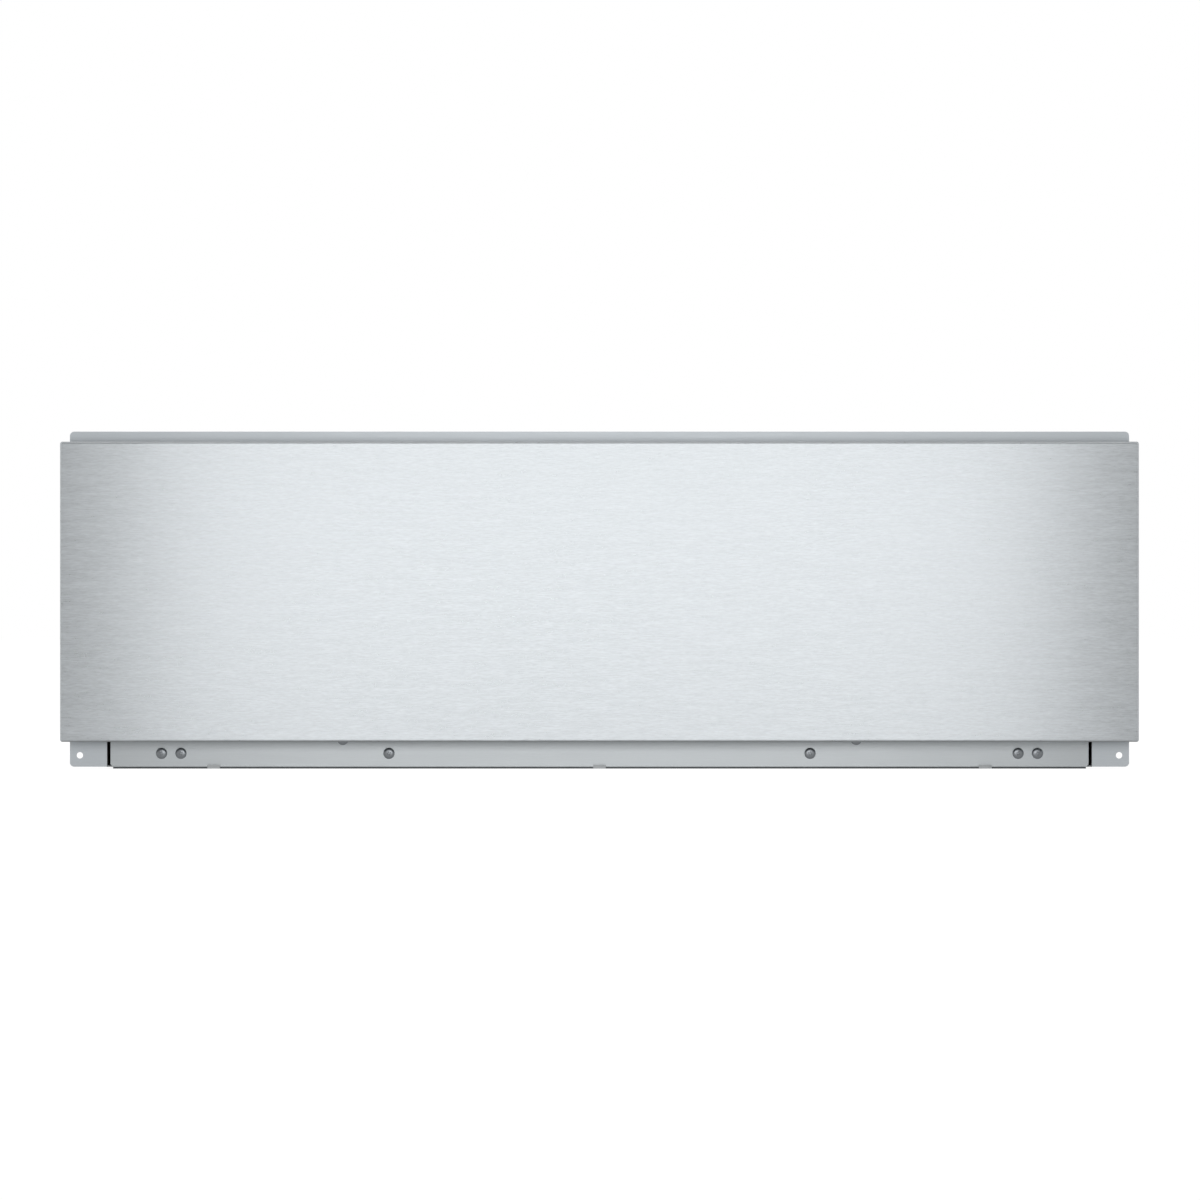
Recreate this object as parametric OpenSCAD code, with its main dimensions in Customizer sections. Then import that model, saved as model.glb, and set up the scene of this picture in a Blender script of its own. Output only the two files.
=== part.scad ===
// Built-in warming drawer with a flat push-to-open front, in millimetres.
// X runs across the front, Y runs from the front to the back, and Z is up.
// The origin is the middle of the footprint, on the surface that the case stands on.
// The case holds the cavity, the heater and the controls, and the drawer runs out of it
// on two three-part ball runners.

/* [Front panel] */
// Width of the front panel
panel_w = 756; // [720:1:800]
// Depth of the folded front panel
panel_d = 19; // [16:0.5:26]
// Height of the front panel's lower edge above the floor
panel_sill = 19; // [14:0.5:24]
// How much of the mounting frame shows above the front panel
top_reveal = 7.3; // [4:0.1:9]
// How far the front panel overhangs the mounting frame at each side
side_reveal = 6; // [2:0.5:12]
// Thickness of the front panel's sheet
skin_t = 1; // [0.8:0.1:1.2]
// Outside radius of the folds round the front panel
fold_r = 1.6; // [1.3:0.1:2.4]
// Gap behind the closed front panel
push_gap = 5; // [5:0.5:8]
// How far the front panel can be pressed in
push_travel = 2.5; // [1.5:0.5:2.5]

/* [Case] */
// Height of the mounting frame's top above the floor
case_h = 236.7; // [230:0.1:270]
// Depth of the case behind the mounting frame
case_d = 547; // [540:1:620]
// Thickness of the case's sheet
sheet_t = 1; // [0.8:0.1:1.2]
// Width of the flanges that the case's sheets are fastened by
flange_w = 8; // [7:0.5:9]
// How far the mounting frame stands above the top cover
frame_rise = 9.7; // [8:0.1:14]
// Width of the mounting frame's side stiles
stile_w = 26.1; // [22:0.1:32]
// Corner radius of the mounting frame
frame_corner_r = 3; // [1:0.5:6]
// Depth of the lips that fasten the mounting frame to the case
frame_lip = 15; // [10:1:25]
// Diameter of the mounting frame's screw holes
mount_hole_d = 4.5; // [3:0.1:6]
// Distance from a mounting hole to the stile's outer edge
mount_hole_edge = 7; // [5:0.5:9]
// Height of the lower mounting holes above the floor
mount_hole_z = 9.3; // [8:0.1:12]
// Distance between the lower and the upper mounting holes
mount_hole_rise = 200; // [180:1:205]

/* [Bottom rail] */
// Height of the bottom front rail
rail_h = 30; // [28:0.5:34]
// Gap between an end of the bottom rail and the stile
rail_end_gap = 2.4; // [1:0.1:4]
// Radius of the bottom rail's folds
rail_fold_r = 1.6; // [1.3:0.1:2.4]
// Distances of the lower rail screws from the rail's end
rail_screw_in = [195.6, 49.5, 35.9];
// Distance of the upper rail screws from the rail's end
upper_screw_in = 163.2; // [154:0.1:173]
// Height of the lower rail screws above the floor
rail_screw_z = 10.7; // [9:0.1:13]
// Height of the upper rail screws above the floor
upper_screw_z = 20.5; // [18:0.1:21]
// Distance of the outer base tabs from the base plate's sides
tab_in = 70.7; // [62:0.1:141]
// Width of a base tab
tab_w = 9; // [6:0.5:20]
// Height of the base tabs
tab_h = 2.6; // [2:0.1:4]

/* [Cavity] */
// Height of the cavity's floor sheet above the floor
cavity_floor_z = 24; // [23:0.5:26]
// Thickness of the cavity's sheets
liner_t = 0.8; // [0.6:0.1:1]
// Space for insulation beside the cavity
side_space = 12.7; // [11:0.1:16]
// Space for insulation behind the cavity
rear_space = 21; // [19:0.5:30]
// Space for insulation above the cavity
top_space = 10.4; // [8:0.1:12]
// Height of the control bay under the top cover
bay_h = 42; // [42:0.5:46]

/* [Runners] */
// Length of the runners
runner_l = 490; // [440:1:500]
// How far the drawer runs out
drawer_travel = 430; // [380:1:440]
// Height of a runner's outer member
runner_h = 45; // [42:0.5:50]
// Width of a closed runner
runner_w = 12.7; // [12.5:0.1:14]
// Sheet thickness of a runner's members
runner_t = 1.2; // [1:0.1:1.3]
// Diameter of the runner balls
ball_d = 3.6; // [3.2:0.1:3.8]
// Height of the runners' middle line above the cavity's floor
runner_rise = 76; // [70:1:90]

/* [Drawer box] */
// Sheet thickness of the drawer frame and the pan
box_t = 1; // [0.8:0.1:1.2]
// Space under the pan for the heater
heater_space = 24; // [22:1:30]
// Space between the pan's rim and the cavity's ceiling
rim_clear = 11; // [9:0.5:20]
// Corner radius of the pan
pan_corner_r = 18; // [10:1:40]
// Space behind the drawer for the latch
latch_space = 33; // [32:0.5:40]
// Thickness of the wires across the rack
rack_wire_d = 3; // [2:0.5:4]
// Thickness of the rack's frame wire
rack_frame_d = 5; // [4:0.5:7]
// Number of wires across the rack
rack_wires = 14; // [8:1:18]

/* [Heater] */
// Diameter of the heating element's tube
element_d = 6.5; // [6:0.1:8]
// Number of straight runs of the heating element
element_runs = 6; // [4:2:8]
// Distance between the element's runs
element_pitch = 92; // [60:1:95]

/* [Controls] */
// Distance of the control bezel's middle from the opening's side
bezel_in = 87.9; // [78:0.1:145]
// Width of the control bezel's pocket
pocket_w = 120; // [112:1:130]
// Height of the control bezel's pocket
pocket_h = 34; // [32:0.5:34]
// Depth of the control bezel's pocket
pocket_d = 15; // [14:0.5:20]
// Wall thickness of the control bezel
bezel_t = 1.5; // [1:0.1:1.8]
// Diameter of the temperature knob
knob_d = 28; // [24:0.5:29]
// Depth of the temperature knob
knob_h = 12; // [10:0.5:13]
// Diameter of the knob's shaft
shaft_d = 6; // [5:0.5:7]

/* [Rear] */
// Distance of the cable gland from the opening's side
gland_in = 130.9; // [86:0.1:195]
// Diameter of the hole through the cable gland
gland_bore_d = 9; // [7:0.5:11]
// How far the cable gland stands out of the rear panel
gland_out = 12; // [10:0.5:20]

/* [Screws] */
// Diameter of a screw's head
head_d = 8; // [7:0.5:8.5]
// Height of a screw's head
head_h = 2.2; // [1.6:0.1:2.3]
// Diameter of a screw's shank
screw_d = 4; // [3:0.1:4]

/* [Hidden] */
$fn = 48;

// Colours
steel = "#c9cdd0";
frame_steel = "#b6babd";
zinc = "#a9adb0";
dark = "#2b2d2f";
wool = "#e6e0cf";
ceramic = "#efeae0";
amber = "#e8902a";

// Clearances
fit = 0.2;        // between sheets that lie together
run = 0.1;        // between a ball and its races, and round a moving shaft
near = 0.3;       // between parts that lie beside each other
screw_fit = 0.2;  // between a screw and its hole, on the radius
eps = 0.01;       // overshoot of a cut

// Depths, from the front to the back
overall_d = panel_d + push_gap + sheet_t + case_d + gland_out;
front_y = -overall_d / 2;
panel_back_y = front_y + panel_d;
frame_y = panel_back_y + push_gap;
case_y0 = frame_y + sheet_t;
case_y1 = case_y0 + case_d;
rear_in_y = case_y1 - sheet_t;
cavity_back_y = rear_in_y - rear_space - liner_t;
drawer_back_y = cavity_back_y - latch_space;
runner_y0 = frame_y + 3;
runner_y1 = runner_y0 + runner_l;

// Half widths, from the outside in
frame_x = panel_w / 2 - side_reveal;
opening_x = frame_x - stile_w;
wall_x = opening_x + sheet_t;
rail_x = opening_x - rail_end_gap;
liner_out_x = opening_x - side_space + liner_t;
liner_in_x = opening_x - side_space;
drawer_x = liner_in_x - runner_w;
base_x = opening_x - 4.2;
bezel_x = opening_x - bezel_in;
gland_x = opening_x - gland_in;
tab_x = base_x - tab_in;
rail_screw_x = [for (inset = rail_screw_in) rail_x - inset];
upper_screw_x = rail_x - upper_screw_in;

// Heights, from the floor up
panel_top = case_h - top_reveal;
foot_z = sheet_t + near;
rail_top_z = sheet_t + rail_h;
cover_top_z = case_h - frame_rise;
cover_z = cover_top_z - sheet_t;
shield_top_z = cover_z - bay_h;
shield_z = shield_top_z - liner_t;
ceiling_top_z = shield_z - top_space;
ceiling_z = ceiling_top_z - liner_t;
rim_z = ceiling_z - rim_clear;
pan_z = cavity_floor_z + heater_space;
pan_floor_z = pan_z + box_t;
tray_top_z = cavity_floor_z + liner_t;
runner_z = cavity_floor_z + runner_rise;
frame_low_z = pan_z + 4;

// Mounting holes
mount_x = frame_x - mount_hole_edge;

// ---- shared shapes ----

// A block between two corners
module block(low, high) {
    translate(low) cube(high - low);
}

// A flat outline in X and Z, drawn out between two depths
module along_y(y0, y1) {
    translate([0, y1, 0]) rotate([90, 0, 0]) linear_extrude(y1 - y0) children();
}

// A flat outline in Y and Z, drawn out between two places on X
module along_x(x0, x1) {
    translate([x0, 0, 0]) rotate([90, 0, 90]) linear_extrude(x1 - x0) children();
}

// A flat outline in X and Y, drawn out between two heights
module along_z(z0, z1) {
    translate([0, 0, z0]) linear_extrude(z1 - z0) children();
}

// A round bar along each axis
module bar_x(x0, x1, y, z, d) {
    translate([x0, y, z]) rotate([0, 90, 0]) cylinder(d = d, h = x1 - x0);
}

module bar_y(x, y0, y1, z, d) {
    translate([x, y0, z]) rotate([-90, 0, 0]) cylinder(d = d, h = y1 - y0);
}

module bar_z(x, y, z0, z1, d) {
    translate([x, y, z0]) cylinder(d = d, h = z1 - z0);
}

// The children at the right and again at the left
module both_sides() {
    children();
    mirror([1, 0, 0]) children();
}

// A rectangle between two corners, with round corners
module round_rect(low, high, r) {
    translate([low.x + r, low.y]) square([high.x - low.x - 2 * r, high.y - low.y]);
    translate([low.x, low.y + r]) square([high.x - low.x, high.y - low.y - 2 * r]);
    for (x = [low.x + r, high.x - r], y = [low.y + r, high.y - r])
        translate([x, y]) circle(r = r);
}

// The outline of a sheet folded to a channel, with its open side towards larger first values
module channel(low, high, t, r) {
    intersection() {
        difference() {
            round_rect(low, [2 * high.x - low.x, high.y], r);
            round_rect(low + [t, t], [2 * high.x - low.x - t, high.y - t], r - t);
        }
        translate(low - [eps, eps]) square(high - low + [eps, 2 * eps]);
    }
}

// A pan-head screw along Z, with its head above z = 0
module screw(length, height = head_h) {
    dome_r = (pow(head_d / 2, 2) + pow(height, 2)) / (2 * height);
    slot_w = head_d / 7;
    difference() {
        union() {
            intersection() {
                cylinder(d = head_d, h = height);
                translate([0, 0, height - dome_r * 1.15]) sphere(r = dome_r * 1.15);
            }
            translate([0, 0, -length]) cylinder(d = screw_d, h = length + eps);
        }
        for (turn = [0, 90])
            rotate(turn)
                translate([-head_d / 4, -slot_w / 2, height * 0.45])
                    cube([head_d / 2, slot_w, height]);
    }
}

// The direction from one point of a list to the next
function heading(points, i) =
    (points[i + 1] - points[i]) / norm(points[i + 1] - points[i]);

// How far a bend at a point of a list takes from the straight runs beside it
function bend_take(points, i, r) =
    i == 0 || i == len(points) - 1 ? 0 :
    let (turn = acos(heading(points, i - 1) * heading(points, i)))
    r * tan(turn / 2);

// A round wire through a list of points, with bends of one radius.
// A bend is a hair thicker than the runs, which end a little way inside it.
module lead(points, d, r) {
    inside = 0.4;
    hair = 0.2;
    last = len(points) - 2;
    for (i = [0 : last]) {
        ahead = heading(points, i);
        from = max(0, bend_take(points, i, r) - (i > 0 ? inside : 0));
        to = max(0, bend_take(points, i + 1, r) - (i < last ? inside : 0));
        start = points[i] + ahead * from;
        reach = norm(points[i + 1] - points[i]) - from - to;
        translate(start)
            rotate([0, acos(ahead.z), atan2(ahead.y, ahead.x)])
                cylinder(d = d, h = reach);
    }
    for (i = [1 : len(points) - 2]) {
        before = heading(points, i - 1);
        after = heading(points, i);
        turn = acos(before * after);
        inward = (after - before * cos(turn)) / sin(turn);
        start = points[i] - before * bend_take(points, i, r);
        middle = start + inward * r;
        axis = cross(before, inward);
        multmatrix([
            [-inward.x, before.x, axis.x, middle.x],
            [-inward.y, before.y, axis.y, middle.y],
            [-inward.z, before.z, axis.z, middle.z],
            [0, 0, 0, 1]
        ])
            rotate_extrude(angle = turn) translate([r, 0]) circle(d = d + hair);
    }
}

// Places about zero, evenly spaced
function spread(count, pitch) = [for (i = [0 : count - 1]) (i - (count - 1) / 2) * pitch];

// ---- the case ----

rivet_in = 30;
rivet_d = 3.2;
frame_rivet_z = [rivet_in + 10, cover_z / 2, cover_z - rivet_in];
frame_rivet_y = case_y0 + frame_lip / 2;

// The stainless frame that the front panel hides, with its lips round the case
module mounting_frame() {
    color(frame_steel)
    difference() {
        union() {
            along_y(frame_y, case_y0)
                difference() {
                    round_rect([-frame_x, foot_z], [frame_x, case_h], frame_corner_r);
                    translate([-opening_x, foot_z - eps])
                        square([2 * opening_x, cover_z - foot_z + eps]);
                }
            both_sides()
                block([wall_x + fit, frame_y + eps, foot_z],
                      [wall_x + fit + sheet_t, case_y0 + frame_lip, cover_z]);
            block([-opening_x, frame_y + eps, cover_top_z + fit],
                  [opening_x, case_y0 + frame_lip, cover_top_z + fit + sheet_t]);
        }
        for (side = [-1, 1], z = [0, mount_hole_rise])
            bar_y(side * mount_x, frame_y - 1, case_y0 + 1, mount_hole_z + z, mount_hole_d);
        both_sides()
            for (z = frame_rivet_z)
                bar_x(wall_x, wall_x + 2 * sheet_t + 1, frame_rivet_y, z, rivet_d + 2 * fit);
        for (x = cover_front_x)
            bar_z(x, frame_rivet_y, cover_z, cover_top_z + 3 * sheet_t, screw_d + 2 * screw_fit);
    }
}

// Rivets through the frame's lips and the side walls
module frame_rivets() {
    rivet_head_d = 2 * rivet_d;
    color(zinc)
    both_sides()
        for (z = frame_rivet_z) {
            bar_x(opening_x - 1.2, wall_x + fit + sheet_t + eps, frame_rivet_y, z, rivet_d);
            bar_x(wall_x + fit + sheet_t, wall_x + fit + sheet_t + 1.1,
                  frame_rivet_y, z, rivet_head_d);
            bar_x(opening_x - 1.2, opening_x, frame_rivet_y, z, rivet_d * 1.5);
        }
}

slot_w = 3;
slot_h = 20;
slot_pitch = 9;
wall_slots = 14;
wall_slot_in = 110;
rear_slots = 22;
rear_slot_x = 60;
cover_slots = 12;
cover_slot_x = 200;
cover_slot_in = 60;
cover_flange_w = 12;
rear_screw_in = 25;
cover_screw_in = 40;
wall_screw_z = [rear_screw_in + 5, cover_z / 2, cover_z - rear_screw_in];
wall_screw_x = opening_x - flange_w / 2 - 0.5;
cover_side_y = [case_y0 + cover_screw_in, (case_y0 + case_y1) / 2, case_y1 - cover_screw_in];
cover_front_x = [-opening_x * 0.8, 0, opening_x * 0.8];
cover_rear_x = [-opening_x * 0.6, opening_x * 0.6];

// A round-ended slot through a side wall
module wall_slot(y, z) {
    for (end = [-1, 1])
        bar_x(opening_x - 1, wall_x + 1, y, z + end * (slot_h - slot_w) / 2, slot_w);
    block([opening_x - 1, y - slot_w / 2, z - (slot_h - slot_w) / 2],
          [wall_x + 1, y + slot_w / 2, z + (slot_h - slot_w) / 2]);
}

// The right side wall, with its flanges for the base, the cover and the rear panel
module side_wall() {
    slot_y = case_y1 - wall_slot_in;
    slot_z = (shield_top_z + cover_z) / 2;
    color(zinc)
    difference() {
        union() {
            along_y(case_y0 + fit, rear_in_y - fit)
                mirror([1, 0, 0])
                    channel([-wall_x, sheet_t], [-wall_x + flange_w + sheet_t, cover_z],
                            sheet_t, rail_fold_r);
            block([opening_x - flange_w - 1, rear_in_y - fit - sheet_t, 3 * sheet_t],
                  [opening_x + eps, rear_in_y - fit, cover_z - 3 * sheet_t]);
        }
        block([opening_x - flange_w - 2, case_y0, 0],
              [opening_x, case_y0 + frame_lip + 1, case_h]);
        for (y = spread(wall_slots, slot_pitch)) wall_slot(slot_y + y, slot_z);
        for (z = frame_rivet_z)
            bar_x(opening_x - 1, wall_x + 1, frame_rivet_y, z, rivet_d + 2 * fit);
        for (z = wall_screw_z)
            bar_y(wall_screw_x, rear_in_y - 3, case_y1, z, screw_d + 2 * screw_fit);
        for (y = cover_side_y)
            bar_z(wall_screw_x, y, cover_z - 3, cover_z + 1, screw_d + 2 * screw_fit);
    }
}

module left_side_wall() { mirror([1, 0, 0]) side_wall(); }
module right_side_wall() { side_wall(); }

base_holes = 8;
base_hole_pitch = 68;
base_hole_y = 180;
base_hole_d = 6;

// The floor sheet of the case, with three tabs hooked up over the bottom rail
module base_plate() {
    color(dark)
    difference() {
        union() {
            block([-base_x, frame_y + 0.4, 0], [base_x, case_y1, sheet_t]);
            for (x = [-tab_x, 0, tab_x]) {
                block([x - tab_w / 2, frame_y - fit - sheet_t, 0],
                      [x + tab_w / 2, frame_y + 1, sheet_t]);
                block([x - tab_w / 2, frame_y - fit - sheet_t, 0],
                      [x + tab_w / 2, frame_y - fit, tab_h]);
            }
        }
        for (x = spread(base_holes, base_hole_pitch), y = [-base_hole_y, base_hole_y])
            bar_z(x, y, -1, sheet_t + 1, base_hole_d);
    }
}

// The lid of the case, with two fields of vent slots
module top_cover() {
    color(zinc)
    difference() {
        block([-wall_x, case_y0 + fit, cover_z], [wall_x, case_y1, cover_top_z]);
        for (side = [-1, 1], x = spread(cover_slots, slot_pitch))
            translate([side * cover_slot_x + x, case_y1 - cover_slot_in, cover_z - 1]) {
                for (end = [-1, 1])
                    translate([0, end * slot_h, 0]) cylinder(d = slot_w, h = sheet_t + 2);
                translate([-slot_w / 2, -slot_h, 0]) cube([slot_w, 2 * slot_h, sheet_t + 2]);
            }
        both_sides()
            for (y = cover_side_y)
                bar_z(wall_screw_x, y, cover_z - 1, cover_top_z + 1, screw_d + 2 * screw_fit);
        for (x = cover_front_x)
            bar_z(x, frame_rivet_y, cover_z - 1, cover_top_z + 1, screw_d + 2 * screw_fit);
        for (x = cover_rear_x)
            bar_z(x, rear_in_y - cover_flange_w / 2, cover_z - 1, cover_top_z + 1, screw_d + 2 * screw_fit);
    }
}

terminal_w = 70;
terminal_h = 30;
terminal_z = (shield_top_z + cover_z) / 2;
terminal_screw_x = terminal_w / 2 + 8;

// The back of the case, with an opening for the terminals and a field of vent slots
module rear_panel() {
    color(zinc)
    difference() {
        union() {
            block([-wall_x, rear_in_y, sheet_t + fit], [wall_x, case_y1, cover_z - fit]);
            block([-opening_x * 0.7, rear_in_y - cover_flange_w, cover_z - fit - sheet_t],
                  [opening_x * 0.7, rear_in_y + eps, cover_z - fit]);
        }
        block([-gland_x - terminal_w / 2, rear_in_y - 1, terminal_z - terminal_h / 2],
              [-gland_x + terminal_w / 2, case_y1 + 1, terminal_z + terminal_h / 2]);
        for (side = [-1, 1])
            bar_y(-gland_x + side * terminal_screw_x, rear_in_y - 1, case_y1 + 1, terminal_z,
                  screw_d + 2 * screw_fit);
        for (place = spread(rear_slots, slot_pitch)) {
            x = rear_slot_x + place;
            for (end = [-1, 1])
                bar_y(x, rear_in_y - 1, case_y1 + 1,
                      terminal_z + end * (slot_h - slot_w) / 2, slot_w);
            block([x - slot_w / 2, rear_in_y - 1, terminal_z - (slot_h - slot_w) / 2],
                  [x + slot_w / 2, case_y1 + 1, terminal_z + (slot_h - slot_w) / 2]);
        }
        both_sides()
            for (z = wall_screw_z)
                bar_y(wall_screw_x, rear_in_y - 1, case_y1 + 1, z, screw_d + 2 * screw_fit);
        for (x = cover_rear_x)
            bar_z(x, rear_in_y - cover_flange_w / 2, cover_z - 3, cover_z + 1, screw_d + 2 * screw_fit);
    }
}

rail_mount_y = [for (s = [0.1, 0.5, 0.9]) runner_y0 + s * runner_l];
sheet_screw_l = 3.4;

// The screws of the cover, the rear panel, the terminal cover and the fixed rails
module case_screws() {
    color(steel) {
        both_sides() {
            for (y = cover_side_y)
                translate([wall_screw_x, y, cover_top_z]) screw(sheet_screw_l);
            for (z = wall_screw_z)
                translate([wall_screw_x, case_y1, z])
                    rotate([-90, 0, 0]) screw(sheet_screw_l);
            for (y = rail_mount_y)
                translate([liner_out_x, y, runner_z])
                    rotate([0, 90, 0]) screw(liner_t + runner_t - fit);
        }
        for (x = cover_front_x)
            translate([x, frame_rivet_y, cover_top_z + fit + sheet_t]) screw(sheet_screw_l);
        for (x = cover_rear_x)
            translate([x, rear_in_y - cover_flange_w / 2, cover_top_z]) screw(sheet_screw_l);
        for (side = [-1, 1])
            translate([-gland_x + side * terminal_screw_x, case_y1 + sheet_t + fit, terminal_z])
                rotate([-90, 0, 0]) screw(sheet_screw_l);
    }
}

// ---- the bottom rail ----

rail_back_y = case_y0;
rail_depth = 15;
bracket_t = 1.5;
bracket_shelf = 32;
bracket_back_y = rail_back_y + fit + bracket_t;

// The places of the rail screws on X and Z
rail_screw_places = concat(
    [for (side = [-1, 1], x = rail_screw_x) [side * x, rail_screw_z]],
    [for (side = [-1, 1]) [side * upper_screw_x, upper_screw_z]]
);

// The folded strip that shows under the front panel
module bottom_front_rail() {
    color(steel)
    difference() {
        along_x(-rail_x, rail_x)
            channel([frame_y, sheet_t], [frame_y + rail_depth, rail_top_z],
                    sheet_t, rail_fold_r);
        for (place = rail_screw_places)
            bar_y(place.x, frame_y - 1, rail_back_y + 1, place.y, screw_d + 2 * screw_fit);
    }
}

// Brackets behind the rail, which carry the front edge of the cavity's floor
module rail_brackets() {
    margin = 9;
    shelf_z = cavity_floor_z - fit;
    inner = [min(rail_screw_x[0], upper_screw_x) - margin,
             max(rail_screw_x[0], upper_screw_x) + margin];
    outer = [rail_screw_x[1] - margin, rail_screw_x[2] + margin];
    color(zinc)
    difference() {
        both_sides()
            for (span = [inner, outer]) {
                block([span[0], rail_back_y + fit, 2 * sheet_t + fit],
                      [span[1], bracket_back_y, shelf_z]);
                block([span[0], rail_back_y + fit, shelf_z - bracket_t],
                      [span[1], rail_back_y + bracket_shelf, shelf_z]);
            }
        for (place = rail_screw_places)
            bar_y(place.x, rail_back_y - 1, bracket_back_y + 5, place.y,
                  screw_d + 2 * screw_fit);
    }
}

module rail_screws() {
    color(steel)
    for (place = rail_screw_places)
        translate([place.x, frame_y, place.y]) rotate([90, 0, 0]) screw(6);
}

// ---- the controls ----

bezel_z = (shield_top_z + cover_z) / 2;
pocket_floor_y = frame_y + pocket_d;
pocket_back_y = pocket_floor_y + bezel_t;
knob_x = bezel_x + pocket_w * 0.32;
switch_x = bezel_x - pocket_w * 0.06;
lamp_x = bezel_x - pocket_w * 0.36;
bezel_lip = 3;
bezel_corner_r = 4;
fascia_depth = 12;
fascia_fold_r = 1.4;
switch_depth = 16;
blade_l = 7;
bushing_d = shaft_d + 4;
rocker_w = 12;
rocker_h = 19;
lamp_d = 6;

// The stainless strip above the cavity, which the closed front panel hides
module control_fascia() {
    fascia_x = opening_x - near;
    fascia_z = ceiling_top_z + fit;
    cut_w = pocket_w / 2 + bezel_t + fit;
    cut_h = pocket_h / 2 + bezel_t + fit;
    color(steel)
    difference() {
        along_x(-fascia_x, fascia_x)
            channel([frame_y, fascia_z], [frame_y + fascia_depth, cover_z - fit],
                    liner_t, fascia_fold_r);
        block([bezel_x - cut_w, frame_y - 1, bezel_z - cut_h],
              [bezel_x + cut_w, frame_y + 2, bezel_z + cut_h]);
        for (x = cover_front_x)
            bar_z(x, frame_rivet_y, cover_z - 3, cover_z + 1, screw_d + 2 * screw_fit);
    }
}

// The black recessed cup that holds the knob, the switch and the lamp
module control_bezel() {
    wall = bezel_t;
    half = [pocket_w / 2, pocket_h / 2];
    out = half + [wall, wall];
    lip = out + [bezel_lip, bezel_lip - 1.2];
    color(dark)
    translate([bezel_x, 0, bezel_z])
    difference() {
        union() {
            along_y(frame_y - bezel_t, frame_y) round_rect(-lip, lip, 3);
            along_y(frame_y - eps, pocket_back_y) round_rect(-out, out, bezel_corner_r);
        }
        along_y(frame_y - bezel_t - 1, pocket_floor_y) round_rect(-half, half, bezel_corner_r - wall);
        bar_y(knob_x - bezel_x, pocket_floor_y - 1, pocket_back_y + 1, 0, bushing_d + 2 * fit);
        bar_y(lamp_x - bezel_x, pocket_floor_y - 1, pocket_back_y + 1, 0, lamp_d + 2 * fit);
        block([switch_x - bezel_x - rocker_w / 2 - 2, pocket_floor_y - 1, -rocker_h / 2 - 2],
              [switch_x - bezel_x + rocker_w / 2 + 2, pocket_back_y + 1, rocker_h / 2 + 2]);
    }
}

pivot_y = pocket_floor_y + 5;
pivot_d = 3;

// The housing of the power switch, snapped into the bezel's floor
module switch_body() {
    out = [rocker_w / 2 + 2 - fit, rocker_h / 2 + 2 - fit];
    inner = [rocker_w / 2 + near, rocker_h / 2 + near];
    back_y = pocket_back_y + switch_depth;
    color(dark)
    translate([switch_x, 0, bezel_z])
    difference() {
        union() {
            along_y(pocket_floor_y - 1.2, pocket_floor_y)
                round_rect(-out - [1.2, 1.2], out + [1.2, 1.2], 1.5);
            block([-out.x, pocket_floor_y - eps, -out.y], [out.x, back_y, out.y]);
            for (z = [-5, 0, 5])
                block([-2.4, back_y - eps, z - 0.4], [2.4, back_y + blade_l, z + 0.4]);
        }
        block([-inner.x, pocket_floor_y - 3, -inner.y], [inner.x, back_y - 3, inner.y]);
        bar_x(-out.x - 1, out.x + 1, pivot_y, 0, pivot_d + 2 * run);
    }
}

rocker_tilt = 7;

// The rocker of the power switch, resting tilted to off
module power_rocker() {
    half_h = rocker_h / 2 - 0.8;
    color("#17181a")
    translate([switch_x, pivot_y, bezel_z]) {
        rotate([rocker_tilt, 0, 0])
            along_x(-rocker_w / 2, rocker_w / 2)
                polygon([[-6, 0], [-7.4, half_h], [-1.5, half_h], [3.2, 2.5],
                         [3.2, -2.5], [-1.5, -half_h], [-7.4, -half_h]]);
        bar_x(-rocker_w / 2 - 1.7, rocker_w / 2 + 1.7, 0, 0, pivot_d);
    }
}

thermostat_size = [38, 26, 30];
thermostat_blade_l = 8;
thermostat_y = pocket_back_y + 1.6;
thermostat_back_y = thermostat_y + thermostat_size.y;

// The capillary thermostat behind the knob, with its threaded bush
module thermostat() {
    low = [knob_x - thermostat_size.x / 2, thermostat_y, bezel_z - thermostat_size.z / 2];
    color(zinc)
    difference() {
        union() {
            block(low, low + thermostat_size);
            bar_y(knob_x, pocket_floor_y - 2, thermostat_y + eps, bezel_z, bushing_d);
            bar_y(knob_x, pocket_back_y + near, thermostat_y + eps, bezel_z, bushing_d + 8);
            translate([knob_x, pocket_floor_y - 1.8, bezel_z]) rotate([-90, 0, 0])
                cylinder(d = bushing_d + 5, h = 1.6, $fn = 6);
            for (x = [-4, 4, 12])
                block([knob_x + x - 0.4, thermostat_back_y - eps, bezel_z - 10],
                      [knob_x + x + 0.4, thermostat_back_y + thermostat_blade_l, bezel_z - 4]);
        }
        bar_y(knob_x, pocket_floor_y - 3, thermostat_y + 12, bezel_z, shaft_d + 2 * run);
    }
}

module indicator_lamp() {
    color(amber)
    difference() {
        union() {
            bar_y(lamp_x, pocket_floor_y - 1.5, pocket_back_y + 14, bezel_z, lamp_d);
            bar_y(lamp_x, pocket_floor_y - 1.5, pocket_floor_y, bezel_z, lamp_d + 2.4);
        }
        bar_y(lamp_x, pocket_back_y + 4, pocket_back_y + 15, bezel_z, lamp_d - 1.6);
    }
}

knob_back_y = pocket_floor_y - 2 - near;
knob_front_y = knob_back_y - knob_h;
shaft_front_y = knob_front_y + 4;

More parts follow.
